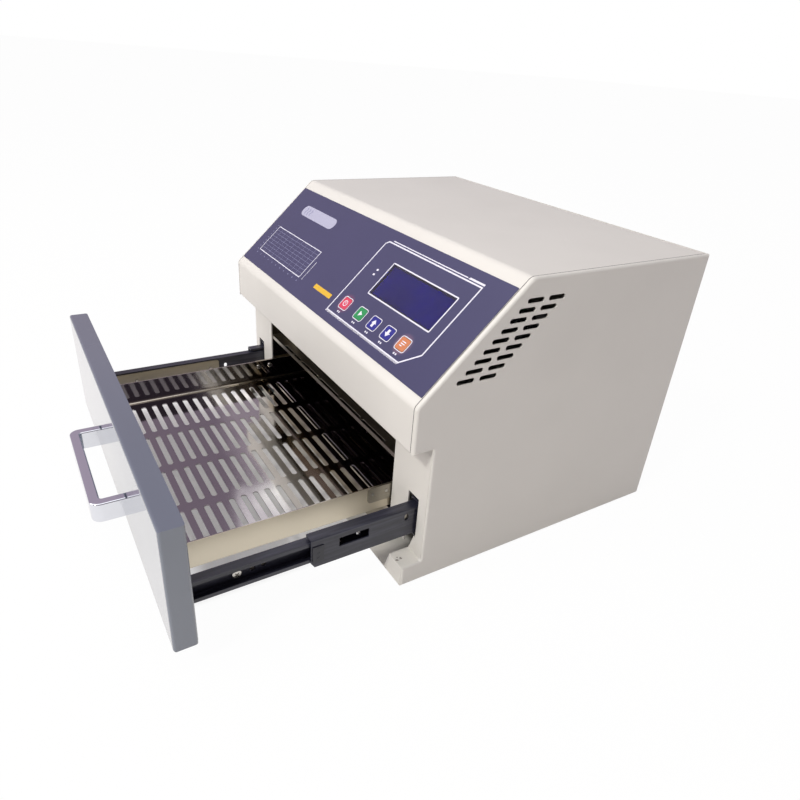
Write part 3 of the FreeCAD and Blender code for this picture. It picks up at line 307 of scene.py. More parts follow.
def makeFloor():
    # a white sweep with its own even glow, which gives way to real shade under the tray and a little past it
    deselectAll()
    bpy.ops.mesh.primitive_plane_add(size=floorLook["size"], location=(0, 0, -floorLook["drop"] * mm))
    floor = bpy.context.object
    floor.name = "floor"
    paint = {"Base Color": linearColour(floorLook["colour"]), "Roughness": 0.9}
    material, tree, shader, place = newMaterial("pale_floor", paint)
    low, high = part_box("tray")
    low.x -= floorLook["past"] * mm
    high.y += floorLook["past"] * mm
    offset = addNode(tree, "ShaderNodeVectorMath", {"operation": "SUBTRACT", 1: (low + high) / 2}, {0: place})
    apart = addNode(tree, "ShaderNodeVectorMath", {"operation": "ABSOLUTE"}, {0: offset.outputs["Vector"]})
    beyond = addNode(tree, "ShaderNodeVectorMath", {"operation": "SUBTRACT", 1: (high - low) / 2},
                     {0: apart.outputs["Vector"]})
    sides = addNode(tree, "ShaderNodeSeparateXYZ", links={"Vector": beyond.outputs["Vector"]})
    furthest = addNode(tree, "ShaderNodeMath", {"operation": "MAXIMUM"},
                       {0: sides.outputs["X"], 1: sides.outputs["Y"]})
    openFloor = addNode(tree, "ShaderNodeMapRange",
                        {"From Min": -floorLook["edge"] * mm, "From Max": 0.0,
                         "To Min": floorLook["shaded"], "To Max": floorLook["glow"]},
                        {"Value": furthest.outputs["Value"]})
    glow = addNode(tree, "ShaderNodeEmission", {"Color": linearColour(room["seen"])})
    path = addNode(tree, "ShaderNodeLightPath")
    seen = addNode(tree, "ShaderNodeMath", {"operation": "MULTIPLY_ADD", 1: floorLook["mirrored"]},
                   {0: path.outputs["Is Glossy Ray"], 2: path.outputs["Is Camera Ray"]})
    share = addNode(tree, "ShaderNodeMath", {"operation": "MULTIPLY"},
                    {0: seen.outputs["Value"], 1: openFloor.outputs["Result"]})
    mixed = addNode(tree, "ShaderNodeMixShader", links={0: share.outputs["Value"], 1: shader.outputs["BSDF"],
                                                        2: glow.outputs["Emission"]})
    tree.links.new(mixed.outputs["Shader"], tree.nodes["Material Output"].inputs["Surface"])
    floor.data.materials.append(material)


placeCamera()
placeLights()
makeRoom()
makeFloor()
bpy.context.scene.view_settings.view_transform = "Standard"
print("camera, light and floor in place")


# finishes

def powderCoatedSteel():
    # baked polyester powder: satin, with a fine orange peel that breaks up every highlight
    look = {"light": "#dedcd5", "dark": "#d6d4cd", "primer": "#86807a", "peel": 1.6, "patch": 70.0,
            "corner": (-11.0, 3.0, 19.5), "chips": (3.0, 9.0), "flake": 2.6, "bare": 0.57}
    material, tree, shader, place = newMaterial("powder_coated_steel",
                                                {"IOR": 1.5, "Specular IOR Level": 0.5})
    patch = makeNoise(tree, place, look["patch"], 2.0)
    tone = mixTones(tree, look["light"], look["dark"], patch)
    peel = makeNoise(tree, place, look["peel"], 3.0, {"Roughness": 0.45})
    rough = makeRange(tree, peel, 0.38, 0.55)
    bump = makeBump(tree, peel, 0.18, 0.12)
    # paint chipped off the right foot's front corner, down to grey primer
    low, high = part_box("side_panel_right")
    corner = Vector((high.x, low.y, 0)) + Vector(look["corner"]) * mm
    away = addNode(tree, "ShaderNodeVectorMath", {"operation": "DISTANCE", 1: corner}, {0: place})
    near = addNode(tree, "ShaderNodeMapRange",
                   {"From Min": look["chips"][0] * mm, "From Max": look["chips"][1] * mm,
                    "To Min": 1.0, "To Max": 0.0}, {"Value": away.outputs["Value"]})
    flake = makeNoise(tree, place, look["flake"], 4.0)
    both = addNode(tree, "ShaderNodeMath", {"operation": "MULTIPLY"}, {0: near.outputs["Result"], 1: flake})
    chip = addNode(tree, "ShaderNodeMath", {"operation": "GREATER_THAN", 1: look["bare"]},
                   {0: both.outputs["Value"]})
    worn = mixOver(tree, tone, look["primer"], chip.outputs["Value"])
    plug(tree, shader, {"Base Color": worn, "Roughness": rough, "Normal": bump})
    return material


def enamelledFront():
    # smooth stoved enamel: blue-grey with a hard clear gloss that mirrors what stands in front
    look = {"light": "#616977", "dark": "#5a6270", "patch": 55.0, "wave": 90.0}
    material, tree, shader, place = newMaterial("stoved_enamel", {"IOR": 1.52, "Coat Weight": 1.0,
                                                                  "Coat Roughness": 0.02, "Coat IOR": 1.8})
    patch = makeNoise(tree, place, look["patch"], 3.0)
    tone = mixTones(tree, look["light"], look["dark"], patch)
    rough = makeRange(tree, patch, 0.2, 0.3)
    wave = makeNoise(tree, place, look["wave"], 1.0)
    bump = makeBump(tree, wave, 0.1, 0.4)
    plug(tree, shader, {"Base Color": tone, "Roughness": rough, "Normal": bump, "Coat Normal": bump})
    return material


def zincSheet():
    # hot-dipped zinc: dull bright metal with the large soft flakes of its crystals
    material, tree, shader, place = newMaterial("galvanised_sheet", {"Metallic": 1.0})
    flake = addNode(tree, "ShaderNodeTexVoronoi", {"Scale": 1 / (9 * mm)}, {"Vector": place})
    tone = mixTones(tree, "#a9adb1", "#c3c6c8", flake.outputs["Color"])
    rough = makeRange(tree, flake.outputs["Color"], 0.28, 0.46)
    plug(tree, shader, {"Base Color": tone, "Roughness": rough})
    return material


def zincScrew():
    # bright electroplate on small turned heads, a little dulled where a driver has slipped
    material, tree, shader, place = newMaterial("zinc_plate", {"Metallic": 1.0})
    wear = makeNoise(tree, place, 1.1, 3.0)
    tone = mixTones(tree, "#d6d4ce", "#b6b3ac", wear)
    rough = makeRange(tree, wear, 0.14, 0.34)
    plug(tree, shader, {"Base Color": tone, "Roughness": rough})
    return material


def mirrorSteel():
    # bright annealed stainless sheet: nearly a mirror, but rolled unevenly, so reflections waver
    material, tree, shader, place = newMaterial("bright_annealed_steel", {"Metallic": 1.0})
    tint = makeNoise(tree, place, 85, 2.0)
    tone = mixTones(tree, "#cfcac0", "#b3a893", tint)
    scuff = makeNoise(tree, place, 3, 5.0)
    rough = makeRange(tree, scuff, 0.05, 0.17)
    waver = makeNoise(tree, place, 38, 1.0)
    bump = makeBump(tree, waver, 0.35, 0.6)
    plug(tree, shader, {"Base Color": tone, "Roughness": rough, "Normal": bump})
    return material


def traySteel():
    # the same bright sheet after many heats: straw and brown bands further in,
    # dull and tan on its outer walls; the grey-mauve near the front is a painted reflection of the mauve room
    # front: painted reflection, a grey-mauve tone standing in for the room mirrored in the sheet
    look = {"front": "#9d979b", "middle": "#cbc9c6", "straw": "#a3957c", "rear": "#8d8590",
            "outer": "#d8cfbc", "drift": 60.0, "reach": 50.0}
    bands = ((0.0, "front"), (0.34, "front"), (0.44, "middle"), (0.6, "middle"), (0.66, "straw"),
             (0.74, "rear"))
    material, tree, shader, place = newMaterial("heat_tint_and_painted_reflection_steel", {"Metallic": 1.0})
    low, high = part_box("tray")
    axes = addNode(tree, "ShaderNodeSeparateXYZ", links={"Vector": place})
    drift = makeNoise(tree, place, look["drift"], 3.0)
    along = addNode(tree, "ShaderNodeMath", {"operation": "MULTIPLY_ADD", 1: look["reach"] * mm},
                    {0: drift, 2: axes.outputs["Y"]})
    middle = look["reach"] / 2 * mm
    share = addNode(tree, "ShaderNodeMapRange", {"From Min": low.y + middle, "From Max": high.y + middle},
                    {"Value": along.outputs["Value"]})
    cast = addNode(tree, "ShaderNodeValToRGB", links={"Fac": share.outputs["Result"]})
    stops = cast.color_ramp.elements
    while len(stops) < len(bands):
        stops.new(0.5)
    for stop, (position, name) in zip(stops, bands):
        stop.position = position
        stop.color = linearColour(look[name])
    sideways = addNode(tree, "ShaderNodeMath", {"operation": "ABSOLUTE"}, {0: axes.outputs["X"]})
    outside = addNode(tree, "ShaderNodeMath", {"operation": "GREATER_THAN", 1: high.x - 0.5 * mm},
                      {0: sideways.outputs["Value"]})
    tone = mixOver(tree, cast.outputs["Color"], look["outer"], outside.outputs["Value"])
    scuff = makeNoise(tree, place, 2.5, 5.0)
    fine = makeRange(tree, scuff, 0.04, 0.12)
    rough = addNode(tree, "ShaderNodeMath", {"operation": "MULTIPLY_ADD", 1: 0.34},
                    {0: outside.outputs["Value"], 2: fine})
    waver = makeNoise(tree, place, 45, 1.0)
    bump = makeBump(tree, waver, 0.3, 0.5)
    plug(tree, shader, {"Base Color": tone, "Roughness": rough.outputs["Value"], "Normal": bump})
    return material


def brushedSteel():
    # stainless brushed along its length: fine parallel lines that stretch the highlight
    material, tree, shader, place = newMaterial("brushed_steel", {"Metallic": 1.0})
    stretched = addNode(tree, "ShaderNodeMapping", {"Scale": (1.0, 0.02, 1.0)}, {"Vector": place})
    lines = makeNoise(tree, stretched.outputs["Vector"], 0.35, 3.0)
    tone = mixTones(tree, "#b3aea3", "#968f82", lines)
    rough = makeRange(tree, lines, 0.22, 0.42)
    bump = makeBump(tree, lines, 0.15, 0.03)
    plug(tree, shader, {"Base Color": tone, "Roughness": rough, "Normal": bump})
    return material


def chromePlate():
    # bright chrome over nickel: a cold mirror with faint finger marks
    material, tree, shader, place = newMaterial("chrome_plate", {"Metallic": 1.0,
                                                                 "Base Color": linearColour("#e2e4ea")})
    marks = makeNoise(tree, place, 7, 4.0)
    rough = addNode(tree, "ShaderNodeMapRange", {"From Min": 0.4, "From Max": 0.75, "To Min": 0.03,
                                                 "To Max": 0.14}, {"Value": marks})
    plug(tree, shader, {"Roughness": rough.outputs["Result"]})
    return material


def frostedQuartz():
    # milky fused-quartz tube: soft inside light, a little grey where the coil lies behind
    material, tree, shader, place = newMaterial("frosted_quartz", {"Transmission Weight": 0.55, "IOR": 1.46})
    coil = addNode(tree, "ShaderNodeTexWave", {"Scale": 1 / (6 * mm), "bands_direction": "X"},
                   {"Vector": place})
    tone = mixTones(tree, "#efe9de", "#cfc6b8", coil.outputs["Fac"])
    rough = makeRange(tree, coil.outputs["Fac"], 0.3, 0.45)
    plug(tree, shader, {"Base Color": tone, "Roughness": rough})
    return material


def pressedCeramic():
    # pressed and fired steatite: chalky, cream, slightly speckled
    material, tree, shader, place = newMaterial("steatite", {"Roughness": 0.72, "IOR": 1.6})
    speck = makeNoise(tree, place, 0.8, 4.0)
    tone = mixTones(tree, "#e8e2d3", "#cfc7b5", speck)
    bump = makeBump(tree, speck, 0.2, 0.1)
    plug(tree, shader, {"Base Color": tone, "Normal": bump})
    return material


def ceramicFelt():
    # needled ceramic fibre: matte white with matted strands
    material, tree, shader, place = newMaterial("ceramic_fibre_felt",
                                                {"Roughness": 0.95, "Sheen Weight": 0.3})
    strands = makeNoise(tree, place, 2.2, 6.0, {"Distortion": 1.6})
    tone = mixTones(tree, "#efebdf", "#d2cbb9", strands)
    bump = makeBump(tree, strands, 0.7, 0.8)
    plug(tree, shader, {"Base Color": tone, "Normal": bump})
    return material


def mouldedPlastic(name, light, dark, roughness, grain):
    # moulded nylon or ABS: even colour with the fine spark grain of its mould
    material, tree, shader, place = newMaterial(name, {"IOR": 1.53})
    spark = makeNoise(tree, place, grain, 3.0)
    tone = mixTones(tree, light, dark, spark)
    rough = makeRange(tree, spark, roughness - 0.07, roughness + 0.09)
    bump = makeBump(tree, spark, 0.2, 0.06)
    plug(tree, shader, {"Base Color": tone, "Roughness": rough, "Normal": bump})
    return material


keyRow = {"y": -91.0, "size": (12.0, 11.0), "sheet": 0.9,
          "x": {"key_power": 33.2, "key_run": 60.0, "key_up": 82.7, "key_down": 104.7, "key_set": 127.2}}


def printedFilm():
    # reverse-printed polyester: flat blue-violet behind a finely matted face, with a blush round two keys
    look = {"light": "#434264", "dark": "#3c3c5b", "grain": 0.5, "patch": 80.0, "halo": (6.0, 11.0)}
    material, tree, shader, place = newMaterial("printed_polyester", {"IOR": 1.57})
    patch = makeNoise(tree, place, look["patch"], 2.0)
    tone = mixTones(tree, look["light"], look["dark"], patch)
    flat = slopeDrawing(tree, place)
    for key, blush in (("key_power", "#8c4664"), ("key_set", "#8f6a7c")):
        centre = (keyRow["x"][key] * mm, keyRow["y"] * mm, 0.0)
        away = addNode(tree, "ShaderNodeVectorMath", {"operation": "DISTANCE", 1: centre}, {0: flat})
        halo = addNode(tree, "ShaderNodeMapRange",
                       {"interpolation_type": "SMOOTHSTEP", "From Min": look["halo"][0] * mm,
                        "From Max": look["halo"][1] * mm, "To Min": 0.5, "To Max": 0.0},
                       {"Value": away.outputs["Value"]})
        tone = mixOver(tree, tone, blush, halo.outputs["Result"])
    grain = makeNoise(tree, place, look["grain"], 2.0)
    rough = makeRange(tree, grain, 0.3, 0.42)
    bump = makeBump(tree, grain, 0.12, 0.02)
    plug(tree, shader, {"Base Color": tone, "Roughness": rough, "Normal": bump})
    return material


def windowFilm():
    # clear cast window under a loose protective film, whose ripples bend the light
    material, tree, shader, place = newMaterial("clear_acrylic", {"Transmission Weight": 1.0, "IOR": 1.49,
                                                                  "Base Color": linearColour("#dfe2ff")})
    ripple = makeNoise(tree, place, 24, 1.5, {"Distortion": 2.0})
    bump = makeBump(tree, ripple, 0.5, 0.5)
    rough = makeRange(tree, ripple, 0.01, 0.05)
    plug(tree, shader, {"Roughness": rough, "Normal": bump})
    return material


def crystalCell():
    # unlit liquid-crystal cell: deep blue, with its dot rows just showing as a darker mesh
    material, tree, shader, place = newMaterial("liquid_crystal_cell", {"Roughness": 0.12, "IOR": 1.15})
    flat = slopeDrawing(tree, place)
    dots = addNode(tree, "ShaderNodeTexBrick", {"offset": 0.0, "Scale": 1.0, "Brick Width": 0.7 * mm,
                                                "Row Height": 0.7 * mm, "Mortar Size": 0.06 * mm,
                                                "Color1": linearColour("#161b86"),
                                                "Color2": linearColour("#14187a"),
                                                "Mortar": linearColour("#101354")}, {"Vector": flat})
    patch = makeNoise(tree, place, 40, 2.0)
    dim = addNode(tree, "ShaderNodeMapRange", {"From Min": 0.35, "From Max": 0.7, "To Max": 0.6},
                  {"Value": patch})
    tone = mixOver(tree, dots.outputs["Color"], "#12144e", dim.outputs["Result"])
    plug(tree, shader, {"Base Color": tone})
    return material


def solderMask():
    # green solder mask over copper runs that show through as slightly paler lanes
    material, tree, shader, place = newMaterial("solder_mask", {"Roughness": 0.3, "IOR": 1.5})
    lanes = addNode(tree, "ShaderNodeTexBrick", {"Scale": 1 / (60 * mm), "Mortar Size": 0.02,
                                                 "Color1": linearColour("#12502b"),
                                                 "Color2": linearColour("#165a31"),
                                                 "Mortar": linearColour("#2f7a48")}, {"Vector": place})
    plug(tree, shader, {"Base Color": lanes.outputs["Color"]})
    return material


def turnedBrass():
    # turned brass with fine tool rings
    material, tree, shader, place = newMaterial("turned_brass", {"Metallic": 1.0})
    rings = makeNoise(tree, place, 0.6, 2.0)
    tone = mixTones(tree, "#d9b35f", "#b98f41", rings)
    rough = makeRange(tree, rings, 0.18, 0.34)
    plug(tree, shader, {"Base Color": tone, "Roughness": rough})
    return material


def blastedAluminium():
    # extruded and bead-blasted aluminium: pale, even and finely pitted
    material, tree, shader, place = newMaterial("blasted_aluminium", {"Metallic": 1.0})
    pits = makeNoise(tree, place, 0.5, 3.0)
    tone = mixTones(tree, "#c6c9cc", "#a9adb1", pits)
    rough = makeRange(tree, pits, 0.42, 0.6)
    plug(tree, shader, {"Base Color": tone, "Roughness": rough})
    return material


def blackCoat():
    # black electrophoretic coat on rolled steel: thin satin film, rubbed paler along the tracks
    look = {"film": "#1e1f2b", "rubbed": "#3a3b48", "grain": 0.9}
    material, tree, shader, place = newMaterial("black_electro_coat", {"IOR": 1.5, "Specular IOR Level": 0.6})
    stretched = addNode(tree, "ShaderNodeMapping", {"Scale": (1.0, 0.06, 1.0)}, {"Vector": place})
    rub = makeNoise(tree, stretched.outputs["Vector"], 2.4, 4.0)
    share = addNode(tree, "ShaderNodeMapRange", {"From Min": 0.42, "From Max": 0.75}, {"Value": rub})
    tone = mixTones(tree, look["film"], look["rubbed"], share.outputs["Result"])
    grain = makeNoise(tree, place, look["grain"], 2.0)
    rough = makeRange(tree, grain, 0.26, 0.42)
    bump = makeBump(tree, grain, 0.1, 0.05)
    plug(tree, shader, {"Base Color": tone, "Roughness": rough, "Normal": bump})
    return material


def siliconeSleeve():
    # rust-red silicone glass sleeve, faintly braided
    material, tree, shader, place = newMaterial("silicone_sleeve", {"Roughness": 0.55})
    braid = addNode(tree, "ShaderNodeTexVoronoi", {"Scale": 1 / (0.9 * mm)}, {"Vector": place})
    tone = mixTones(tree, "#7d1f17", "#a5352a", braid.outputs["Distance"])
    plug(tree, shader, {"Base Color": tone})
    return material


def screenInk(name, light, dark):
    # opaque screen ink: even colour, slightly mottled by the mesh it was pressed through
    material, tree, shader, place = newMaterial(name, {"Roughness": 0.45, "IOR": 1.5})
    mesh = makeNoise(tree, place, 0.7, 2.0)
    tone = mixTones(tree, light, dark, mesh)
    plug(tree, shader, {"Base Color": tone})
    return material


blackPlastic = mouldedPlastic("black_nylon", "#1b1b1e", "#121214", 0.45, 0.6)
darkPlastic = mouldedPlastic("dark_acetal", "#2a2b33", "#1f2027", 0.36, 0.5)
# plain black that stands in for the shadow in the casing's seams: painted shade
seamShadeBlack = mouldedPlastic("painted_seam_shade_black", "#121213", "#0b0b0c", 0.8, 0.4)
redPlastic = mouldedPlastic("red_polycarbonate", "#b01a1c", "#8e1013", 0.22, 0.8)
finishes = {
    "casing_paint": powderCoatedSteel(), "drawer_paint": enamelledFront(), "zinc_sheet": zincSheet(),
    "zinc_screw": zincScrew(), "polished_steel": mirrorSteel(), "brushed_steel": brushedSteel(),
    "chrome": chromePlate(), "quartz": frostedQuartz(), "ceramic": pressedCeramic(),
    "insulation": ceramicFelt(), "black_plastic": blackPlastic, "bumper_plastic": darkPlastic,
    "rocker_red": redPlastic, "overlay_film": printedFilm(), "display_glass": windowFilm(),
    "display_module": mouldedPlastic("black_bezel_lacquer", "#202127", "#17181c", 0.4, 0.8),
    "circuit_board": solderMask(), "brass": turnedBrass(), "heat_sink": blastedAluminium(),
    "wire_sleeve": siliconeSleeve(), "slide_black": blackCoat(),
    "key_red": screenInk("red_key_ink", "#d3475f", "#c43a52"),
    "key_green": screenInk("green_key_ink", "#2c9155", "#23824a"),
    "key_blue": screenInk("blue_key_ink", "#2a2c8c", "#232579"),
    "key_orange": screenInk("orange_key_ink", "#cb8058", "#bf744c"),
}
slotOf = {subpart["node"]: subpart["material_slot"] for subpart in frame["record"]["subparts"]}
for node, slotName in slotOf.items():
    dress(node, finishes[slotName])
dress("tray", traySteel())
dress("heater_guard", finishes["brushed_steel"])  # its slots were punched in sheet with a brushed face
whiteInk = screenInk("white_screen_ink", "#e6e6ee", "#d5d5e0")
greyInk = screenInk("grey_screen_ink", "#8e8fae", "#8081a0")
paleInk = screenInk("pale_lilac_ink", "#b4b4c8", "#a9a9be")
yellowInk = screenInk("yellow_screen_ink", "#e2b93c", "#d2a62c")
print("finishes made:", len(bpy.data.materials))


# printing on the control face

ink = 0.06  # mm, how proud the printed lines stand
panelFrame = {"x": (16.0, 152.25), "y": (-106.25, -23.1), "line": 1.3, "foot": (16.4, 136.5, 2.5),
              "second": (24.5, 132.0, 1.2, 0.9), "step": (132.0, 1.0, 2.7),
              "stepCut": (134.5, (-1.5, 2.5, 0)),
              "cuts": (((16.0, -26.5), (-5.0, 7.5, 0)), ((136.0, -106.25), (2.75, -16.25, 0)))}


def printFrame():
    # the line round the display and keys, with two corners cut off and a heavier foot
    x0, x1 = panelFrame["x"]
    y0, y1 = panelFrame["y"]
    rim = flatPlate("frame_line", x0, x1, y0, y1)
    for corner, lean in panelFrame["cuts"]:
        bpy.ops.mesh.select_all(action="SELECT")
        bpy.ops.mesh.bisect(plane_co=(corner[0] * mm, corner[1] * mm, 0), plane_no=lean,
                            clear_outer=True, use_fill=False)
    bpy.ops.mesh.select_all(action="SELECT")
    hollowOut(panelFrame["line"])
    thicken(ink)
    left, right, height = panelFrame["foot"]
    bar = flatPlate("frame_foot", left, right, y0, y0 + height)
    thicken(ink)
    left, right, gap, line = panelFrame["second"]
    second = flatPlate("frame_second", left, right, y1 + gap, y1 + gap + line)
    thicken(ink)
    left, low, high = panelFrame["step"]
    step = flatPlate("frame_step", left, x1, y1 + low, y1 + high)
    start, lean = panelFrame["stepCut"]
    bpy.ops.mesh.bisect(plane_co=(start * mm, (y1 + high) * mm, 0), plane_no=lean, clear_outer=True)
    thicken(ink)
    return [rim, bar, second, step]


def printRim(name, x0, x1, y0, y1, line, rounding=0.0):
    rim = flatPlate(name, x0, x1, y0, y1)
    if rounding:
        roundCorners(rounding)
    hollowOut(line)
    thicken(ink)
    return rim


chart = {"x": (-162.0, -57.0), "y": (-97.0, -63.75), "columns": 10, "rows": 8, "border": 0.9, "inside": 0.8,
         "gridLine": 0.14, "below": (-4.4, -3.0, 0.6), "beside": (-4.8, -2.8, 0.35),
         "side": (-51.1, -50.5, 11.0)}


def printChart():
    # an empty temperature chart: border, grid and two rows of scale ticks
    x0, x1 = chart["x"]
    y0, y1 = chart["y"]
    border = printRim("chart_border", x0, x1, y0, y1, chart["border"])
    deselectAll()
    bpy.ops.mesh.primitive_grid_add(x_subdivisions=chart["columns"], y_subdivisions=chart["rows"], size=1,
                                    location=((x0 + x1) / 2 * mm, (y0 + y1) / 2 * mm, 0))
    grid = bpy.context.object
    grid.scale = ((x1 - x0 - 2 * chart["inside"]) * mm, (y1 - y0 - 2 * chart["inside"]) * mm, 1)
    bpy.ops.object.transform_apply(location=True, rotation=True, scale=True)
    bpy.ops.object.mode_set(mode="EDIT")
    bpy.ops.mesh.select_all(action="SELECT")
    bpy.ops.mesh.inset(thickness=chart["gridLine"] * mm, use_individual=True)
    bpy.ops.mesh.delete(type="FACE")
    thicken(ink)
    ticks = []
    low, high, half = chart["below"]
    for i in range(chart["columns"] + 1):
        x = x0 + (x1 - x0) * i / chart["columns"]
        ticks.append(flatPlate("tick", x - half, x + half, y0 + low, y0 + high))
        thicken(ink)
    left, right, half = chart["beside"]
    for i in range(chart["rows"] + 1):
        y = y0 + (y1 - y0) * i / chart["rows"]
        ticks.append(flatPlate("tick", x0 + left, x0 + right, y - half, y + half))
        thicken(ink)
    left, right, short = chart["side"]
    side = flatPlate("chart_side", left, right, y0, y1 - short)
    thicken(ink)
    return [border, side], [grid] + ticks


keyRim = {"clear": 1.0, "line": 0.7, "rounding": 2.8}


def printKeyRims():
    rims = []
    across, up = [value / 2 + keyRim["clear"] for value in keyRow["size"]]
    for x in keyRow["x"].values():
        rims.append(printRim("key_rim", x - across, x + across, keyRow["y"] - up, keyRow["y"] + up,
                             keyRim["line"], keyRim["rounding"]))
    return rims


marksLook = {"offsets": (-1.3, 1.3), "half": 0.8, "y": (-101.2, -99.6),
             "lampRows": (-51.25, -56.25), "lampX": (34.0, 36.6), "lampHalf": 0.9}


def printMarks():
    # small blocks where captions would be, under the keys and beside the display
    marks = []
    low, high = marksLook["y"]
    for x in keyRow["x"].values():
        for offset in marksLook["offsets"]:
            middle = x + offset
            marks.append(flatPlate("mark", middle - marksLook["half"], middle + marksLook["half"], low, high))
            thicken(ink)
    left, right = marksLook["lampX"]
    for y in marksLook["lampRows"]:
        marks.append(flatPlate("mark", left, right, y - marksLook["lampHalf"], y + marksLook["lampHalf"]))
        thicken(ink)
    return marks


badge = {"x": (-147.75, -73.5), "y": (-40.75, -28.0), "rounding": 6.3, "segments": 8,
         "waves": (-140.0, -134.5, -129.0), "waveHalf": 0.6, "waveY": (-38.4, -30.4), "swing": 0.9,
         "waveLength": 6.4, "waveCuts": 15}


def printTitlePill():
    # a plain pale badge where a maker would print a name
    pill = flatPlate("title_pill", *badge["x"], *badge["y"])
    roundCorners(badge["rounding"], badge["segments"])
    thicken(ink)
    return pill


def printHeatWaves():
    # three rising waves, the usual sign for heat, on the badge
    waves = []
    low, high = badge["waveY"]
    for x in badge["waves"]:
        wave = flatPlate("heat_wave", x - badge["waveHalf"], x + badge["waveHalf"], low, high)
        bpy.ops.mesh.subdivide(number_cuts=badge["waveCuts"])
        bpy.ops.object.mode_set(mode="OBJECT")
        for point in wave.data.vertices:
            along = (point.co.y / mm - (low + high) / 2) / badge["waveLength"]
            point.co.x += badge["swing"] * mm * math.sin(2 * math.pi * along)
        bpy.ops.object.mode_set(mode="EDIT")
        thicken(ink)
        waves.append(wave)
    return waves


# the line round the display, the cell behind its window, and the plain yellow strip
display = {"border": (47.0, 140.4, -73.2, -38.3, 1.2, 1.2), "cell": (49.6, 137.8, -70.6, -40.9),
           "seal": 1.1, "glass": 0.55, "bevel": 0.15, "sunk": -2.85}
yellowStrip = {"place": (-25.0, 8.5, -96.5, -91.75), "rounding": 0.6}
displayBorder = printRim("display_border", *display["border"])
chartWhite, chartGrey = printChart()
whitePrint = joinPieces("panel_print_white",
                        printFrame() + [displayBorder] + chartWhite + printKeyRims() + printMarks())
greyPrint = joinPieces("panel_print_grey", chartGrey)
pillPrint = joinPieces("panel_print_pale", [printTitlePill()])
heatPrint = joinPieces("panel_heat_waves", printHeatWaves())
strip = flatPlate("panel_print_yellow", *yellowStrip["place"])
roundCorners(yellowStrip["rounding"], 3)
thicken(ink)
yellowPrint = joinPieces("panel_print_yellow", [strip])
for piece, material, lift in ((whitePrint, whiteInk, 0.0), (greyPrint, greyInk, 0.0),
                              (pillPrint, paleInk, 0.0), (yellowPrint, yellowInk, 0.0),
                              (heatPrint, greyInk, ink)):
    layOnSlope(piece, lift)
    dress(piece.name, material)
    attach(piece, "casing")
print("control face printed")


# display cell and key symbols

def makeDisplayCell():
    # the liquid-crystal glass in its bezel, with a bevelled edge and a seal ring inset round it
    cell = flatPlate("display_cell", *display["cell"])
    bpy.ops.mesh.inset(thickness=display["seal"] * mm)
    thicken(display["glass"])
    deselectAll()
    cell.select_set(True)
    bpy.context.view_layer.objects.active = cell
    bevel = cell.modifiers.new("edge", "BEVEL")
    bevel.width = display["bevel"] * mm
    bevel.segments = 2
    bpy.ops.object.modifier_apply(modifier="edge")
    layOnSlope(cell, display["sunk"])
    dress(cell.name, crystalCell())
    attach(cell, "casing")


# mm from the key's centre, but widen is how many times wider the arrow's head is than its shaft
symbolLook = {"ring": 2.9, "ringLine": 0.75, "ringBar": (0.4, -0.4, 1.4), "triangle": 3.0, "rounding": 0.3,
              "shaft": (1.5, -3.4, -0.2), "widen": 2.2, "point": 3.5, "hair": 0.01,
              "bars": (5.2, 5.2, 3.2), "barLeft": -2.6, "barPitch": 1.9, "barHalf": 0.4}


def flatPolygon(x, radius, sides, turn):
    # a one-face polygon on a key's centre, left in edit mode with all selected
    deselectAll()
    bpy.ops.mesh.primitive_circle_add(vertices=sides, radius=radius * mm, fill_type="NGON",
                                      location=(x * mm, keyRow["y"] * mm, 0), rotation=(0, 0, turn))
    bpy.ops.object.transform_apply(location=True, rotation=True, scale=True)
    bpy.ops.object.mode_set(mode="EDIT")
    bpy.ops.mesh.select_all(action="SELECT")
    return bpy.context.object


def ringSymbol(x):
    # power: an open ring and a bar
    ring = flatPolygon(x, symbolLook["ring"], 32, 0.0)
    hollowOut(symbolLook["ringLine"])
    thicken(ink)
    half, low, high = symbolLook["ringBar"]
    bar = flatPlate("bar", x - half, x + half, keyRow["y"] + low, keyRow["y"] + high)
    thicken(ink)
    return [ring, bar]


def triangleSymbol(x):
    # run: a triangle that points on
    triangle = flatPolygon(x, symbolLook["triangle"], 3, -math.pi / 2)
    roundCorners(symbolLook["rounding"], 3)
    thicken(ink)
    return [triangle]


def arrowSymbol(x, way):
    # a stubby arrow up or down: a shaft, its end drawn out wide and closed to a point
    y = keyRow["y"]
    half, low, high = symbolLook["shaft"]
    arrow = flatPlate("arrow", x - half, x + half, y + low, y + high)
    pickEdges(arrow, lambda a, b: min(a.y, b.y) > (y + (low + high) / 2) * mm)
    bpy.ops.mesh.extrude_region_move(TRANSFORM_OT_translate={"value": (0, symbolLook["hair"] * mm, 0)})
    bpy.ops.transform.resize(value=(symbolLook["widen"], 1, 1), center_override=(x * mm, y * mm, 0))
    bpy.ops.mesh.extrude_region_move(TRANSFORM_OT_translate={"value": (0, symbolLook["point"] * mm, 0)})
    bpy.ops.mesh.merge(type="CENTER")
    if way < 0:
        bpy.ops.mesh.select_all(action="SELECT")
        bpy.ops.transform.resize(value=(1, -1, 1), center_override=(x * mm, y * mm, 0))
    thicken(ink)
    return [arrow]


def barsSymbol(x):
    # set: three short lines, like entries in a list
    bars = []
    left = x + symbolLook["barLeft"]
    half = symbolLook["barHalf"]
    for i, length in enumerate(symbolLook["bars"]):
        y = keyRow["y"] + (1 - i) * symbolLook["barPitch"]
        bars.append(flatPlate("bar", left, left + length, y - half, y + half))
        thicken(ink)
    return bars


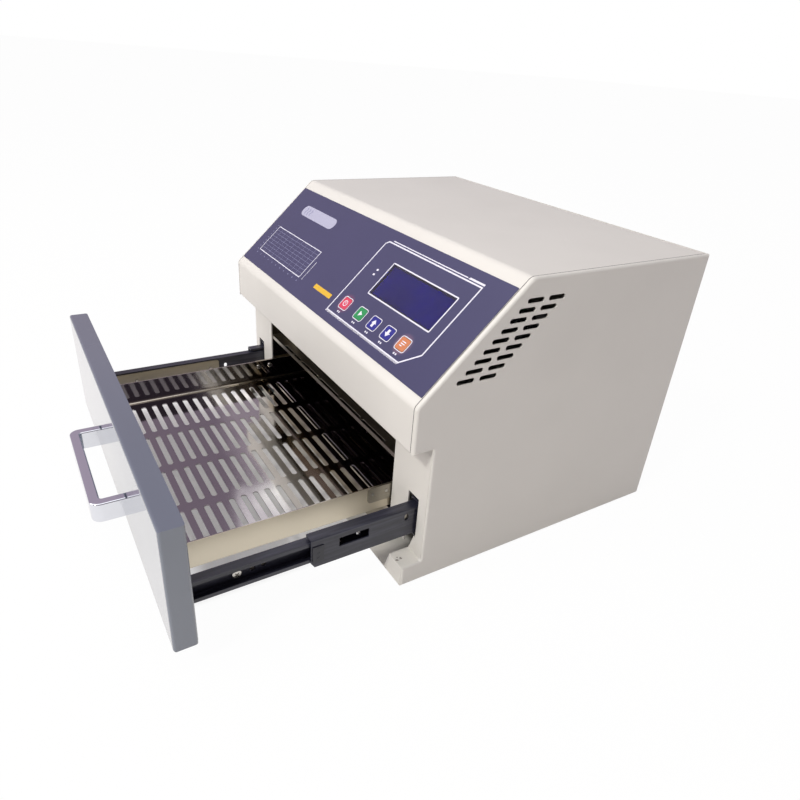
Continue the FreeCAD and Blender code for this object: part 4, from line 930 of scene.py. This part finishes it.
symbols = {"key_power": ringSymbol, "key_run": triangleSymbol, "key_up": lambda x: arrowSymbol(x, 1),
           "key_down": lambda x: arrowSymbol(x, -1), "key_set": barsSymbol}
makeDisplayCell()
for key, draw in symbols.items():
    symbol = joinPieces(key + "_symbol", draw(keyRow["x"][key]))
    layOnSlope(symbol, keyRow["sheet"] - slope["overlaySheet"])
    dress(symbol.name, whiteInk)
    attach(symbol, key)
print("display cell and key symbols made")


# folds along the tray's walls

trayFold = {"radius": 2.4, "sheet": 1.2, "steps": 6, "short": 4.0}  # mm, but steps is a count


def makeTrayFold(side):
    # the inside bend where a wall rises from the bed: a concave strip that draws a bright line of light
    low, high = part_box("tray")
    radius = trayFold["radius"] * mm
    wall = (high.x - trayFold["sheet"] * mm) * side
    bed = low.z + trayFold["sheet"] * mm
    start = low.y + trayFold["short"] * mm
    length = high.y - low.y - 2 * trayFold["short"] * mm
    deselectAll()
    bpy.ops.mesh.primitive_plane_add(size=1, location=(wall - side * radius / 2, start, bed + radius / 2),
                                     rotation=(math.pi / 2, 0, 0))
    fold = bpy.context.object
    fold.scale = (radius, radius, 1)
    bpy.ops.object.transform_apply(location=True, rotation=True, scale=True)
    bpy.ops.object.mode_set(mode="EDIT")
    bpy.ops.mesh.select_all(action="SELECT")
    bpy.ops.mesh.extrude_region_move(TRANSFORM_OT_translate={"value": (0, length, 0)})
    # the long edge that faces the tray's middle is bevelled inwards, which leaves the hollow of the bend
    pickEdges(fold, lambda a, b: abs(a.y - b.y) > length / 2 and side * a.x < side * wall - radius / 2
              and a.z > bed + radius / 2)
    bpy.ops.mesh.bevel(offset=radius * 0.98, segments=trayFold["steps"], profile=0.08, affect="EDGES")
    bpy.ops.mesh.select_all(action="SELECT")
    bpy.ops.mesh.remove_doubles(threshold=0.001 * mm)
    bpy.ops.mesh.normals_make_consistent(inside=False)
    bpy.ops.object.mode_set(mode="OBJECT")
    return joinPieces("tray_fold_" + ("right" if side > 0 else "left"), [fold])


for side in (-1, 1):
    fold = makeTrayFold(side)
    dress(fold.name, finishes["polished_steel"])
    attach(fold, "drawer")
print("tray folds made")


# painted shade in the seams of the casing

seamShadeStrip = {"width": 0.6, "weld": 0.002, "reach": 0.05, "facing": 0.99}  # mm, and the cosine of a face's lean


def makeSeamShadeStrip(side):
    # painted shade: a black strip that fills the gap between the cover's folded edge and a side panel,
    # standing in for the shadow in that seam
    low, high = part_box("top_cover")
    edge = high.x if side > 0 else low.x
    deselectAll()
    seal = bpy.data.objects.new("seal", bpy.data.objects["top_cover"].data.copy())
    bpy.context.scene.collection.objects.link(seal)
    seal.select_set(True)
    bpy.context.view_layer.objects.active = seal
    seal.data.materials.clear()
    bpy.ops.object.mode_set(mode="EDIT")
    bpy.ops.mesh.select_mode(type="FACE")
    bpy.ops.mesh.select_all(action="SELECT")
    bpy.ops.mesh.remove_doubles(threshold=seamShadeStrip["weld"] * mm)
    bpy.ops.object.mode_set(mode="OBJECT")
    for face in seal.data.polygons:
        face.select = (side * face.normal.x < seamShadeStrip["facing"]
                       or abs(face.center.x - edge) > seamShadeStrip["reach"] * mm)
    bpy.ops.object.mode_set(mode="EDIT")
    bpy.ops.mesh.delete(type="FACE")
    bpy.ops.mesh.select_all(action="SELECT")
    bpy.ops.mesh.extrude_region_move(TRANSFORM_OT_translate={"value": (side * seamShadeStrip["width"] * mm, 0, 0)})
    bpy.ops.mesh.select_all(action="SELECT")
    bpy.ops.mesh.normals_make_consistent(inside=False)
    bpy.ops.object.mode_set(mode="OBJECT")
    return joinPieces("painted_seam_shade_" + ("right" if side > 0 else "left"), [seal])


for side in (-1, 1):
    seal = makeSeamShadeStrip(side)
    # each black strip is painted shade where the seam's shadow falls
    dress(seal.name, seamShadeBlack)
    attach(seal, "casing")
print("painted seam shade made")
